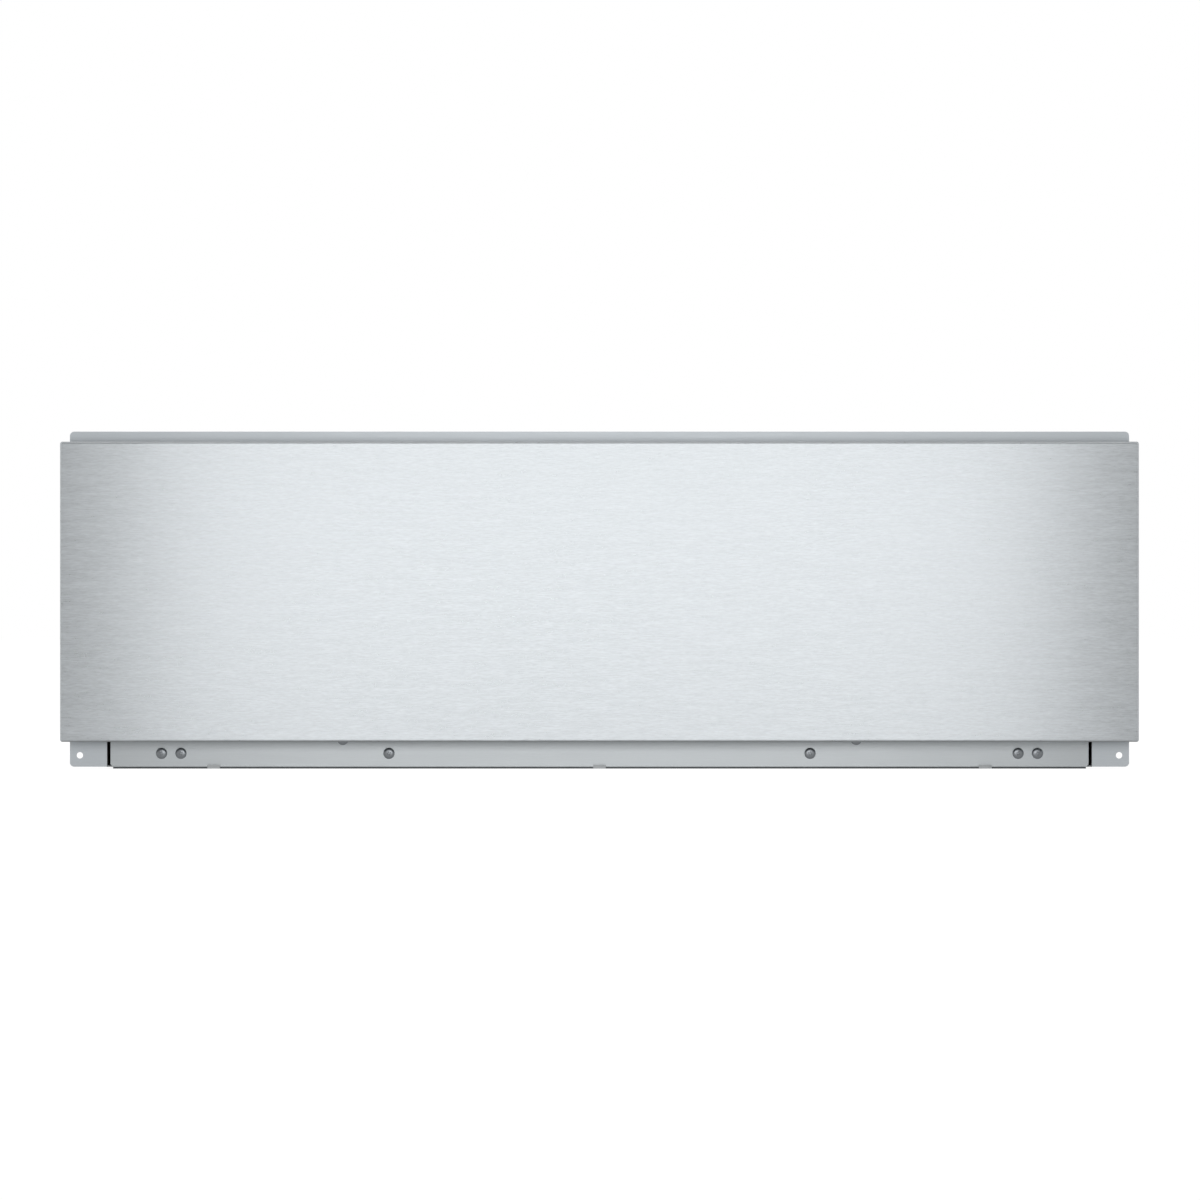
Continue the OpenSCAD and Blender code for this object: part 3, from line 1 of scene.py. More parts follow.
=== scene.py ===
# %% [markdown]
# # A built-in warming drawer
# X runs across the front, the front looks towards -Y, and Z is up. This lesson sets a studio
# round the drawer, makes its finishes from nodes, and models the parts that need a softer or a
# finer shape than the solids have.

import math

import bmesh
import bpy
from mathutils import Matrix, Vector


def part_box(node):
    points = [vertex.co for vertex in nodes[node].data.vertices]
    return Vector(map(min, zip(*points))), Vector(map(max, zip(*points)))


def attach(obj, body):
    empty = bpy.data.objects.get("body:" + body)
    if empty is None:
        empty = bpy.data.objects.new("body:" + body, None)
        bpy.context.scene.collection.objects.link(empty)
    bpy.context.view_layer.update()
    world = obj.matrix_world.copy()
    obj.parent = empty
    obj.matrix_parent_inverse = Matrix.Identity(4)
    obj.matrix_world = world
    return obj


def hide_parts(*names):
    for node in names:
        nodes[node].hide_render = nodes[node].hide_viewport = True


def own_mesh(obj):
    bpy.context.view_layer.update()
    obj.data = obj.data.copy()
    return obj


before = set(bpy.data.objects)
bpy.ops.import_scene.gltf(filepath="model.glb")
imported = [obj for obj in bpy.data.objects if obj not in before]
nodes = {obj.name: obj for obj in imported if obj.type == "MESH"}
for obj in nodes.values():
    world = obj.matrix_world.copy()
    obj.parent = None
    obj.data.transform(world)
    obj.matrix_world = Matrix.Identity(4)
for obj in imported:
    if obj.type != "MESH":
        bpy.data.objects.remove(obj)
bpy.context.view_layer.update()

# %% [markdown]
# ## The camera
# The photograph is taken straight on, from far away, so the front shows no perspective. A long
# lens does the same. The front is 1079 of 1200 pixels wide, and that sets how far off the camera
# stands. Its height and its half pixel to the side put the front where the picture has it.

# %% The camera
MM = 0.001
FRONT_W = 0.756
PICTURE_PIXELS, FRONT_PIXELS = 1200, 1079
SIDE_PIXELS, HIGH_PIXELS = 0.5, 169
LENS, SENSOR = 400.0, 36.0
pixel = FRONT_W / FRONT_PIXELS
front_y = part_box("front_panel")[0][1]
view_w = PICTURE_PIXELS * pixel
camera_data = bpy.data.cameras.new("camera")
camera_data.lens = LENS
camera_data.sensor_width = SENSOR
camera_data.clip_end = 100
camera = bpy.data.objects.new("camera", camera_data)
camera.location = (SIDE_PIXELS * pixel, front_y - view_w * LENS / SENSOR, HIGH_PIXELS * pixel)
camera.rotation_euler = (math.radians(90), 0, 0)
bpy.context.scene.collection.objects.link(camera)
bpy.context.scene.camera = camera
bpy.context.scene.view_settings.view_transform = "Standard"
print("camera at", [round(c, 3) for c in camera.location])

# %% [markdown]
# ## Small helpers for materials
# A finish is built from nodes. Written as sums and products of sockets it reads like the formula
# that it is, so one small class wraps a socket and adds a Math node for each operator.

# %% A socket that can be added and multiplied
class Wire:
    """An output socket of a node, with the operators that its values need."""

    def __init__(self, bench, socket):
        self.bench, self.socket = bench, socket

    def math(self, operation, *others):
        values = {0: self, **{i + 1: value for i, value in enumerate(others)}}
        return self.bench.add("ShaderNodeMath", {"operation": operation}, values)

    def __add__(self, other):
        return self.math("ADD", other)

    def __radd__(self, other):
        return self.math("ADD", other)

    def __sub__(self, other):
        return self.math("SUBTRACT", other)

    def __rsub__(self, other):
        return (self * -1.0).math("ADD", other)

    def __mul__(self, other):
        return self.math("MULTIPLY", other)

    def __rmul__(self, other):
        return self.math("MULTIPLY", other)

    def clamp(self):
        return self.bench.add("ShaderNodeClamp", {}, {"Value": self})

    def between(self, low, high):
        """0 below low, 1 above high, and smooth from one to the other."""
        values = {"Value": self, "From Min": low, "From Max": high}
        return self.bench.add("ShaderNodeMapRange", {"interpolation_type": "SMOOTHSTEP"}, values)


# %% A bench that a material's nodes are put together on
class Bench:
    """The node tree of one material or of the world."""

    def __init__(self, tree):
        self.tree = tree
        tree.nodes.clear()

    def add(self, kind, settings, values, output=0):
        """Adds a node: its settings first, then the values or links of its sockets."""
        node = self.tree.nodes.new(kind)
        for key, value in settings.items():
            setattr(node, key, value)
        for key, value in values.items():
            socket = node.inputs[key]
            if isinstance(value, Wire):
                self.tree.links.new(value.socket, socket)
            else:
                socket.default_value = value
        return Wire(self, node.outputs[output])

    def place(self, stretch=(1, 1, 1), turn=(0, 0, 0)):
        """The place on the piece, stretched or turned for a pattern."""
        spot = self.add("ShaderNodeTexCoord", {}, {}, "Object")
        return self.add("ShaderNodeMapping", {},
                        {"Vector": spot, "Scale": stretch, "Rotation": turn})

    def noise(self, spot, scale=1.0, detail=3.0, rough=0.5, bend=0.0):
        return self.add("ShaderNodeTexNoise", {},
                        {"Vector": spot, "Scale": scale, "Detail": detail,
                         "Roughness": rough, "Distortion": bend})

    def cells(self, spot, scale):
        """A random colour for each cell of a broken-up sheet."""
        return self.add("ShaderNodeTexVoronoi", {}, {"Vector": spot, "Scale": scale}, "Color")

    def along(self, vector, axis):
        """One of the three numbers of a vector."""
        return self.add("ShaderNodeSeparateXYZ", {}, {"Vector": vector}, axis.upper())

    def mix(self, share, first, second):
        """A colour between two colours."""
        return self.add("ShaderNodeMix", {"data_type": "RGBA"},
                        {0: share, 6: first, 7: second}, 2)

    def bump(self, height, strength, distance):
        return self.add("ShaderNodeBump", {},
                        {"Height": height, "Strength": strength, "Distance": distance})

    def rays(self):
        """Two masks: what the camera or a clear piece looks at, and what shows in metal."""
        seen, through, mirrored = [self.add("ShaderNodeLightPath", {}, {}, kind) for kind in (
            "Is Camera Ray", "Is Transmission Ray", "Is Glossy Ray")]
        return seen.math("MAXIMUM", through), mirrored

    def surface(self, values):
        """The usual shader, as the last one of a material."""
        self.add_output(self.add("ShaderNodeBsdfPrincipled", {}, values))

    def add_output(self, shader, kind="ShaderNodeOutputMaterial"):
        node = self.tree.nodes.new(kind)
        self.tree.links.new(shader.socket, node.inputs["Surface"])


def new_finish(name):
    """A material by name, and the bench for its nodes."""
    material = bpy.data.materials.new(name)
    material.use_nodes = True
    return material, Bench(material.node_tree)


def grey(level):
    return (level, level, level, 1.0)


def tinted(colour, factor=1.0):
    """A colour, made lighter or darker, and never past white."""
    return (*(min(1.0, part * factor) for part in colour), 1.0)


# %% [markdown]
# ## The studio
# The photograph has a plain white ground. The steel is brightest over the middle of the front and
# falls off towards its ends, because brushed steel spreads what it mirrors up and down, across
# its grain, and hardly sideways. So a light box that is as wide as the front and hangs a good
# metre before it shows as a bright field with soft ends. The camera sees the world as white. The
# metal mirrors a grey room instead, which is darkest straight behind the camera.

# %% The world
world = bpy.data.worlds.new("world")
bpy.context.scene.world = world
world.use_nodes = True
sky = Bench(world.node_tree)
ROOM, CAMERA_SIDE, OTHER_SIDES = 0.74, 0.27, 0.64
TO_THE_BACK, TO_THE_SIDE = (-0.6, 0.2), (0.15, 0.5)
white, mirrored = sky.rays()
direction = sky.add("ShaderNodeTexCoord", {}, {}, "Generated")
sideways = sky.along(direction, "x").math("ABSOLUTE").between(*TO_THE_SIDE)
away = sky.along(direction, "y").between(*TO_THE_BACK).math("MAXIMUM", sideways)
in_metal = away * (OTHER_SIDES - CAMERA_SIDE) + CAMERA_SIDE
strength = (1 - white) * (mirrored * (in_metal - ROOM) + ROOM) + white
sky.add_output(sky.add("ShaderNodeBackground", {}, {"Color": grey(1), "Strength": strength}),
               "ShaderNodeOutputWorld")
print("room", ROOM, "in the metal", CAMERA_SIDE, "to", OTHER_SIDES)

# %% The light boxes
def light_box(name, place, aim, size, radiance):
    """A rectangular lamp of a given brightness that looks from its place at an aim."""
    lamp = bpy.data.lights.new(name, "AREA")
    lamp.shape = "RECTANGLE"
    lamp.size, lamp.size_y = size
    lamp.energy = radiance * math.pi * size[0] * size[1]
    holder = bpy.data.objects.new(name, lamp)
    holder.location = place
    towards = Vector(aim) - Vector(place)
    holder.rotation_euler = towards.to_track_quat("-Z", "Y").to_euler()
    holder.visible_camera = False
    bpy.context.scene.collection.objects.link(holder)
    print(name, "gives", round(lamp.energy, 2), "W")


light_box("front_box", (0, -1.54, 0.215), (0, 0, 0.215), (FRONT_W, 0.41), 1.85)
light_box("top_box", (0, 0.1, 2.2), (0, 0, 0.1), (2.2, 1.8), 0.7)
light_box("back_box", (-0.6, 2.0, 1.1), (0, 0, 0.1), (1.6, 1.2), 0.7)

# %% [markdown]
# ## The floor
# The floor is matt and white. To the camera and in the metal it also glows a little, so that it
# reads as white and the shadow on it stays faint. Light that bounces off it sees only the matt.
# Such a glow isn't a lamp, so it is left out of the lamps that Cycles aims at, which would leave
# bright specks in the steel.

# %% The floor's finish
floor_finish, bench = new_finish("floor_white")


def floor_look(matt, glow):
    """A matt surface of one level of grey, with a glow added to it."""
    paint = bench.add("ShaderNodeBsdfDiffuse", {}, {"Color": grey(matt)})
    light = bench.add("ShaderNodeEmission", {}, {"Color": grey(1), "Strength": glow})
    return bench.add("ShaderNodeAddShader", {}, {0: paint, 1: light})


white, mirrored = bench.rays()
paint = bench.add("ShaderNodeBsdfDiffuse", {}, {"Color": grey(0.80)})
bounced = bench.add("ShaderNodeMixShader", {}, {0: mirrored, 1: paint, 2: floor_look(0.12, 0.38)})
bench.add_output(bench.add("ShaderNodeMixShader", {},
                           {0: white, 1: bounced, 2: floor_look(0.14, 0.92)}))
floor_finish.cycles.emission_sampling = "NONE"
print("floor finish with", len(floor_finish.node_tree.nodes), "nodes")

# %% The floor
bpy.ops.mesh.primitive_plane_add(size=60, location=(0, 0, 0))
floor = bpy.context.object
floor.name = "floor"
floor.data.materials.append(floor_finish)
print("floor", floor.dimensions.x, "m wide")

# %% [markdown]
# ## Brushed steel
# The front is rolled sheet that was brushed along its length. The brush leaves short shallow
# strokes, a few millimetres long and well under a millimetre high, and they show as faint light
# and dark dashes. Noise that is squeezed across the grain and stretched along it gives them.
# Where the sheet is folded back at its ends the grain turns with it, so the stretch is chosen by
# the way that a face looks. Such steel mirrors sharply along its grain and softly across it,
# which is what the shader's anisotropy is for. The returns above and below the front, the faces
# that look
# up or down, are painted darker: painted shade for the dark folds and for the shade under the
# front.

# %% The brushed finish
STROKE_DEPTH = 0.02 * MM


def brushed(name, colour, along="x", folded="y", stroke=9.0, line=0.45, show=0.05, rough=0.32,
            depth=0.5, grained=0.0, painted_return_shade=1.0):
    """Steel with brush strokes along an axis. A stroke's length and height are in millimetres."""
    material, bench = new_finish(name)
    long, fine = 1 / (stroke * MM), 1 / (line * MM)

    def squeezed(axis, factor):
        return tuple(factor * (long if way == axis else fine) for way in "xyz")

    look = bench.add("ShaderNodeTexCoord", {}, {}, "Normal")
    turned = bench.along(look, along).math("ABSOLUTE").math("GREATER_THAN", 0.7)

    def grain(factor, detail, bend):
        spot = bench.add("ShaderNodeMix", {"data_type": "VECTOR"}, {
            0: turned, 4: bench.place(squeezed(along, factor)),
            5: bench.place(squeezed(folded, factor))}, 1)
        return bench.noise(spot, 1.0, detail, 0.62, bend)

    strokes, broad = grain(1.0, 3.0, 0.25), grain(0.22, 2.0, 0.1)
    cloud = bench.noise(bench.place(), 5.0, 2.0, 0.5)
    streak = (strokes - 0.5) * 1.4 + (broad - 0.5) * 0.8
    contrast = 2.2 * show
    base = bench.mix((streak + 0.5 + (cloud - 0.5) * 0.25).clamp(),
                     tinted(colour, 1 - contrast), tinted(colour, 1 + contrast))
    # Faces that look up or down are painted darker: painted shade at the folds and under the
    # front.
    if painted_return_shade < 1:
        level = bench.along(look, "z").math("ABSOLUTE")
        base = bench.mix(level.between(0.35, 0.9), base, tinted(colour, painted_return_shade))
    bench.surface({
        "Base Color": base, "Metallic": 1.0,
        "Roughness": streak * 0.08 + (cloud - 0.5) * 0.03 + rough, "Anisotropic": grained,
        "Anisotropic Rotation": 0.25 if grained else 0.0,
        "Normal": bench.bump(strokes, depth, STROKE_DEPTH)})
    print(name, "strokes", stroke, "mm along", along)
    return material


# The front's returns are painted at half of its tone: painted shade.
front_steel = brushed("front_steel", (0.737, 0.775, 0.80), stroke=5.5, line=0.7, show=0.09,
                      rough=0.30, depth=0.12, grained=0.9, painted_return_shade=0.5)
frame_steel = brushed("frame_steel", (0.66, 0.70, 0.73), "x", "z", 14, 0.6, 0.02, 0.46, 0.2)
rail_steel = brushed("rail_steel", (0.79, 0.83, 0.85), "x", "z", 14, 0.6, 0.02, 0.40, 0.2, 0.9)
liner_steel = brushed("liner_steel", (0.66, 0.67, 0.68), "y", "x", 18, 0.6, 0.03, 0.32, 0.3)
pan_steel = brushed("pan_steel", (0.68, 0.69, 0.70), "x", "z", 16, 0.5, 0.03, 0.28, 0.3)
fascia_steel = brushed("fascia_steel", (0.70, 0.72, 0.74), "x", "z", 9, 0.45, 0.05, 0.34, 0.4)

# %% [markdown]
# ## Zinc-coated sheet, plastic, wool and the rest
# The case is zinc-coated sheet. Its coating froze in flat crystals, which show as patches that
# are a little lighter or darker. The plastic has a fine grain, and the wool is a felt of fibres.

# %% Zinc-coated sheet
COAT_RELIEF, CRYSTAL_BEND = 0.05 * MM, 4 * MM
UNSHADED_STEEL = (0.52, 0.54, 0.55)
TABS_END_Y = -268.05 * MM


def zinc(name, colour, patch=11.0, rough=0.38, show=0.10, unshaded_before=None):
    """Zinc-coated sheet: crystals of a given width in millimetres. Before a Y it can keep a plain
    steel grey.
    """
    material, bench = new_finish(name)
    spot = bench.place()
    warp = bench.noise(spot, 60.0, 2.0, 0.5)
    bent = bench.add("ShaderNodeVectorMath", {"operation": "SCALE"},
                     {0: warp, "Scale": CRYSTAL_BEND})
    moved = bench.add("ShaderNodeVectorMath", {"operation": "ADD"}, {0: spot, 1: bent})
    crystal = bench.cells(moved, 1 / (patch * MM))
    level = bench.add("ShaderNodeSeparateColor", {}, {"Color": crystal}, "Red")
    grain = bench.noise(spot, 900.0, 2.0, 0.6)
    coat = bench.mix(level * 0.7 + grain * 0.3, tinted(colour, 1 - show), tinted(colour, 1 + show))
    # In front of a Y the sheet keeps a steel grey, outside the painted shade of a dark sheet.
    if unshaded_before is not None:
        unshaded = bench.along(spot, "y").math("LESS_THAN", unshaded_before)
        coat = bench.mix(unshaded, coat, tinted(UNSHADED_STEEL))
    bench.surface({
        "Base Color": coat, "Metallic": 1.0, "Roughness": level * 0.12 + grain * 0.06 + rough,
        "Normal": bench.bump(grain, 0.15, COAT_RELIEF)})
    print(name, "crystals", patch, "mm")
    return material


zinc_sheet = zinc("zinc_sheet", (0.60, 0.62, 0.635))
zinc_parts = zinc("zinc_parts", (0.60, 0.61, 0.61), 4.0, 0.30, 0.06)
# The base plate is painted near black: painted shade for the dark line under the strip. Its tabs
# in front keep a steel grey.
painted_dark_base_sheet = zinc("painted_dark_base_sheet", (0.11, 0.118, 0.125), 11.0, 0.42, 0.10, TABS_END_Y)
reflector_sheet = zinc("reflector_sheet", (0.70, 0.69, 0.66), 6.0, 0.30, 0.05)

# %% Bright screws and wire
def bright(name, colour, rough):
    """Plated metal with fine turning marks."""
    material, bench = new_finish(name)
    marks = bench.noise(bench.place((1500, 1500, 1500)), 1.0, 3.0, 0.6)
    blot = bench.noise(bench.place(), 220.0, 2.0, 0.5)
    bench.surface({
        "Base Color": bench.mix(marks * 0.5 + blot * 0.5, tinted(colour, 0.9),
                                tinted(colour, 1.06)),
        "Metallic": 1.0, "Roughness": marks * 0.10 + blot * 0.06 + (rough - 0.06),
        "Normal": bench.bump(marks, 0.1, STROKE_DEPTH)})
    print(name, "roughness about", rough)
    return material


screw_steel = bright("screw_steel", (0.36, 0.38, 0.40), 0.30)
wire_chrome = bright("wire_chrome", (0.78, 0.79, 0.80), 0.12)
copper_tube = bright("copper_tube", (0.72, 0.42, 0.27), 0.30)
element_sheath = bright("element_sheath", (0.10, 0.088, 0.078), 0.48)

# %% Plastic, ceramic, rubber and sleeves
GRAIN_RELIEF = 0.06 * MM


def moulded(name, colour, rough=0.45, grain=0.25, size=2600.0, spread=0.12):
    """A moulded or fired surface with a fine grain."""
    material, bench = new_finish(name)
    fine = bench.noise(bench.place(), size, 2.0, 0.5)
    cloud = bench.noise(bench.place(), 40.0, 2.0, 0.5)
    bench.surface({
        "Base Color": bench.mix(fine * 0.5 + cloud * 0.5,
                                tinted(colour, 1 - spread), tinted(colour, 1 + spread)),
        "Roughness": fine * 0.12 + cloud * 0.08 + (rough - 0.1),
        "Normal": bench.bump(fine, grain, GRAIN_RELIEF)})
    print(name, "roughness about", rough)
    return material


black_plastic = moulded("black_plastic", (0.020, 0.020, 0.022))
gloss_black = moulded("gloss_black", (0.014, 0.014, 0.016), 0.25, 0.05)
stop_rubber = moulded("stop_rubber", (0.028, 0.028, 0.030), 0.75, 0.4)
white_ceramic = moulded("white_ceramic", (0.80, 0.77, 0.70), 0.55, 0.2, 1800.0, 0.06)
lamp_amber = moulded("lamp_amber", (0.80, 0.33, 0.05), 0.22, 0.05)
lead_sleeve = moulded("lead_sleeve", (0.42, 0.11, 0.08), 0.65, 0.5, 1500.0, 0.2)
glass_sleeve = moulded("glass_sleeve", (0.72, 0.69, 0.60), 0.8, 0.6, 1300.0, 0.15)
white_mark = moulded("white_mark", (0.75, 0.76, 0.76), 0.5, 0.05)

# %% Mineral wool's finish
FIBRE_RELIEF = 1.2 * MM


def felt(name, colour):
    """Mineral wool: long fibres that lie flat and cross each other."""
    material, bench = new_finish(name)
    one = bench.noise(bench.place((160, 1400, 1400), (0, 0, 0.5)), 1.0, 4.0, 0.65, 0.6)
    two = bench.noise(bench.place((1400, 160, 1400), (0, 0, -0.4)), 1.0, 4.0, 0.65, 0.6)
    clump = bench.noise(bench.place(), 70.0, 3.0, 0.6)
    fibre = one.math("MAXIMUM", two)
    tone = (fibre - 0.35) * 1.3 + clump * 0.35
    bench.surface({
        "Base Color": bench.mix(tone.clamp(), tinted(colour, 0.55), tinted(colour, 1.15)),
        "Roughness": 0.95, "Normal": bench.bump(fibre + clump * 0.8, 0.7, FIBRE_RELIEF)})
    print(name, "is done")
    return material


mineral_wool = felt("mineral_wool", (0.62, 0.52, 0.33))

# %% [markdown]
# ## Dress the solids
# Most solids have the right shape already, so they keep it and get a finish by name.

# %% Give each node its finish
finishes = {
    "mounting_frame": frame_steel, "bottom_front_rail": rail_steel, "front_panel": front_steel,
    "front_inner_panel": fascia_steel, "control_fascia": fascia_steel,
    "cavity_liner": liner_steel, "warming_pan": pan_steel, "drawer_frame": pan_steel,
    "left_side_wall": zinc_sheet, "right_side_wall": zinc_sheet, "top_cover": zinc_sheet,
    "rear_panel": zinc_sheet, "terminal_cover": zinc_sheet, "heat_shield": zinc_sheet,
    "rail_brackets": zinc_sheet, "front_brackets": zinc_sheet, "base_plate": painted_dark_base_sheet,
    "heat_reflector": reflector_sheet, "case_screws": screw_steel, "rail_screws": screw_steel,
    "drawer_screws": screw_steel, "frame_rivets": screw_steel, "thermostat": zinc_parts,
    "knob_shaft": screw_steel, "latch_spring": screw_steel, "latch_plunger": wire_chrome,
    "latch_striker": zinc_parts, "wire_rack": wire_chrome, "element_clips": zinc_parts,
    "heating_element": element_sheath, "temperature_sensor": copper_tube,
    "element_seals": white_ceramic, "terminal_block": white_ceramic,
    "thermal_cutout": black_plastic, "control_bezel": black_plastic,
    "switch_body": black_plastic, "latch_housing": black_plastic, "cable_gland": black_plastic,
    "harness_clips": black_plastic, "temperature_knob": black_plastic,
    "power_rocker": gloss_black, "indicator_lamp": lamp_amber, "stop_pads": stop_rubber,
    "supply_harness": lead_sleeve, "heater_harness": glass_sleeve,
}
for name in nodes:
    if "insulation" in name:
        finishes[name] = mineral_wool
    elif name.endswith(("_rail", "_cage")) and name not in finishes:
        finishes[name] = zinc_parts
for name, thing in nodes.items():
    thing.data.materials.clear()
    thing.data.materials.append(finishes[name])
print("finished", len(finishes), "nodes")

# %% [markdown]
# ## Modelling by hand, in code
# Each new piece starts from a primitive that is added at its size and place. Edit mode then acts
# on what is selected, so a helper deselects everything and selects faces, edges or corners by
# their middle and their direction, as a hand would by clicking.

# %% Helpers for modelling
BOX = {name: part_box(name) for name in nodes}


def leave_edit():
    """Goes back to object mode if a piece is open in edit mode."""
    if bpy.context.mode == "EDIT_MESH":
        bpy.ops.object.mode_set(mode="OBJECT")


def only(piece, *others):
    """Selects a piece, as the active one, with any others and nothing else."""
    leave_edit()
    bpy.ops.object.select_all(action="DESELECT")
    for chosen in (piece, *others):
        chosen.select_set(True)
    bpy.context.view_layer.objects.active = piece


def own_place(piece):
    """Puts a piece's place, turn and size into its mesh."""
    only(piece)
    bpy.ops.object.transform_apply(location=True, rotation=True, scale=True)
    return piece


def join(name, piece, *others):
    """Joins others to a piece and names it."""
    only(piece, *others)
    if others:
        bpy.ops.object.join()
    piece.name = name
    return piece


def primitive(name, add, **settings):
    """Adds one of Blender's primitives by name, with nothing else selected."""
    leave_edit()
    bpy.ops.object.select_all(action="DESELECT")
    add(**settings)
    bpy.context.object.name = name
    return own_place(bpy.context.object)


def cube(name, low, high):
    """A box between two corners."""
    low, high = Vector(low), Vector(high)
    return primitive(name, bpy.ops.mesh.primitive_cube_add, size=1, location=(low + high) / 2,
                     scale=high - low)


def drum(name, middle, radius, depth, sides):
    """A cylinder about a middle, with its axis along Y."""
    return primitive(name, bpy.ops.mesh.primitive_cylinder_add, vertices=sides, radius=radius,
                     depth=depth, location=middle, rotation=(math.radians(90), 0, 0))


def pick(piece, kind, test):
    """Selects the faces, edges or corners whose middle and direction pass a test."""
    if bpy.context.mode != "EDIT_MESH":
        only(piece)
        bpy.ops.object.mode_set(mode="EDIT")
    bpy.ops.mesh.select_mode(type=kind)
    bpy.ops.mesh.select_all(action="DESELECT")
    mesh = bmesh.from_edit_mesh(piece.data)
    count = 0
    for part in {"FACE": mesh.faces, "EDGE": mesh.edges, "VERT": mesh.verts}[kind]:
        if kind == "FACE":
            middle, direction = part.calc_center_median(), part.normal
        elif kind == "EDGE":
            ends = [corner.co for corner in part.verts]
            middle, direction = (ends[0] + ends[1]) / 2, (ends[1] - ends[0]).normalized()
        else:
            middle, direction = part.co, part.normal
        if test(middle, direction):
            part.select_set(True)
            count += 1
    mesh.select_flush_mode()
    bmesh.update_edit_mesh(piece.data)
    return count


def facing(axis, sign):
    """A test for faces that look straight along an axis."""
    return lambda middle, direction: direction[axis] * sign > 0.999


def anywhere(middle, direction):
    """A test that all pass."""
    return True


def near_to(value, target, reach=0.1 * MM):
    return abs(value - target) < reach


def delete_faces(piece, test):
    pick(piece, "FACE", test)
    bpy.ops.mesh.delete(type="FACE")


def bevel(offset, segments=4, profile=0.5, kind="EDGES"):
    bpy.ops.mesh.bevel(offset=offset, segments=segments, profile=profile, affect=kind,
                       clamp_overlap=True)


def inset(width):
    bpy.ops.mesh.inset(thickness=width)


def extrude(offset):
    bpy.ops.mesh.extrude_region_move(TRANSFORM_OT_translate={"value": offset})


def shift(offset):
    bpy.ops.transform.translate(value=offset)


def stretch(factors, middle):
    bpy.ops.transform.resize(value=factors, center_override=middle)


def modify(piece, kind, **settings):
    """Adds a modifier, sets it and applies it."""
    only(piece)
    bpy.ops.object.modifier_add(type=kind)
    modifier = piece.modifiers[-1]
    for key, value in settings.items():
        setattr(modifier, key, value)
    bpy.ops.object.modifier_apply(modifier=modifier.name)


def thicken(piece, depth):
    """Gives a skin a wall, inwards from its outside."""
    modify(piece, "SOLIDIFY", thickness=depth, offset=-1, use_even_offset=True)


def outwards(piece):
    """Merges doubles and turns every face to the outside."""
    only(piece)
    bpy.ops.object.mode_set(mode="EDIT")
    bpy.ops.mesh.select_all(action="SELECT")
    bpy.ops.mesh.remove_doubles(threshold=0.005 * MM)
    bpy.ops.mesh.normals_make_consistent(inside=False)
    leave_edit()


def settle(piece, body, finish, slot, *stands_for, angle=32):
    """Ends the work on a piece: it is smoothed, dressed and put on its body."""
    only(piece)
    bpy.ops.object.shade_smooth_by_angle(angle=math.radians(angle))
    modify(piece, "WEIGHTED_NORMAL", keep_sharp=True)
    piece.data.materials.clear()
    piece.data.materials.append(finish)
    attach(piece, body)
    if stands_for:
        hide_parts(*stands_for)
    print(piece.name, "on", body, "faces", len(piece.data.polygons))
    return piece


def copy_of(piece, name, mirror_x=False):
    """A copy with its own mesh, mirrored to the other side of the case if asked."""
    twin = piece.copy()
    twin.data = piece.data.copy()
    twin.name = name
    twin.parent = None
    bpy.context.scene.collection.objects.link(twin)
    if mirror_x:
        twin.scale = (-1, 1, 1)
        own_place(twin)
        outwards(twin)
    return twin


# %% [markdown]
# ## The front panel
# The front is one stainless sheet whose four sides are folded back. A block gives its outside:
# without its back it is an open tray, a bevel rounds the folds and the corners where they meet,
# and a solidify modifier gives the sheet its millimetre.

# %% The front panel
SHEET = 1.0 * MM
FRONT_FOLD = 1.6 * MM
low, high = BOX["front_panel"]
front_skin = cube("front_skin", low, high)
delete_faces(front_skin, facing(1, 1))
pick(front_skin, "EDGE", lambda m, d: near_to(m.y, low.y) or abs(d.y) > 0.9)
bevel(FRONT_FOLD, 5)
thicken(front_skin, SHEET)
settle(front_skin, "drawer", front_steel, "brushed_steel", "front_panel")

# %% [markdown]
# ## The bottom strip
# Under the front there is a strip, folded back at its top and its bottom. It starts as a block
# that loses its back and its ends. Its lower corners are clipped, as sheet is before a fold.

# %% The bottom strip
STRIP_FOLD, CLIP = 0.7 * MM, 2.0 * MM
low, high = BOX["bottom_front_rail"]
strip = cube("bottom_strip", low, high)
delete_faces(strip, lambda m, d: d.y > 0.9 or abs(d.x) > 0.9)
pick(strip, "EDGE", lambda m, d: near_to(m.y, low.y) and abs(d.x) > 0.9)
bevel(STRIP_FOLD, 4)
for side, edge in ((-1, low.x), (1, high.x)):
    bpy.ops.mesh.select_all(action="SELECT")
    bpy.ops.mesh.bisect(plane_co=(edge - side * CLIP, low.y, low.z), clear_outer=True,
                        plane_no=(side, 0, -1))
thicken(strip, SHEET)
settle(strip, "chassis", rail_steel, "brushed_steel", "bottom_front_rail")

# %% [markdown]
# ## Pan-head screws
# All screws have a low round head with a cross recess. A head is turned from a short cylinder:
# its front edge is rounded, its middle stands out a little as a crown, its shank is drawn out of
# its back, and a cross that narrows towards its tip is cut into it. Each kind is made once, and
# its other screws are copies in their places.

# %% A screw that faces -Y with its seat at the origin
HEAD_R, SHANK_R, CROWN, CROWN_EDGE = 4 * MM, 1.8 * MM, 0.16 * MM, 1.1 * MM
CROSS_L, CROSS_W, CROSS_DEPTH = 3.5 * MM, 0.95 * MM, 1.1 * MM


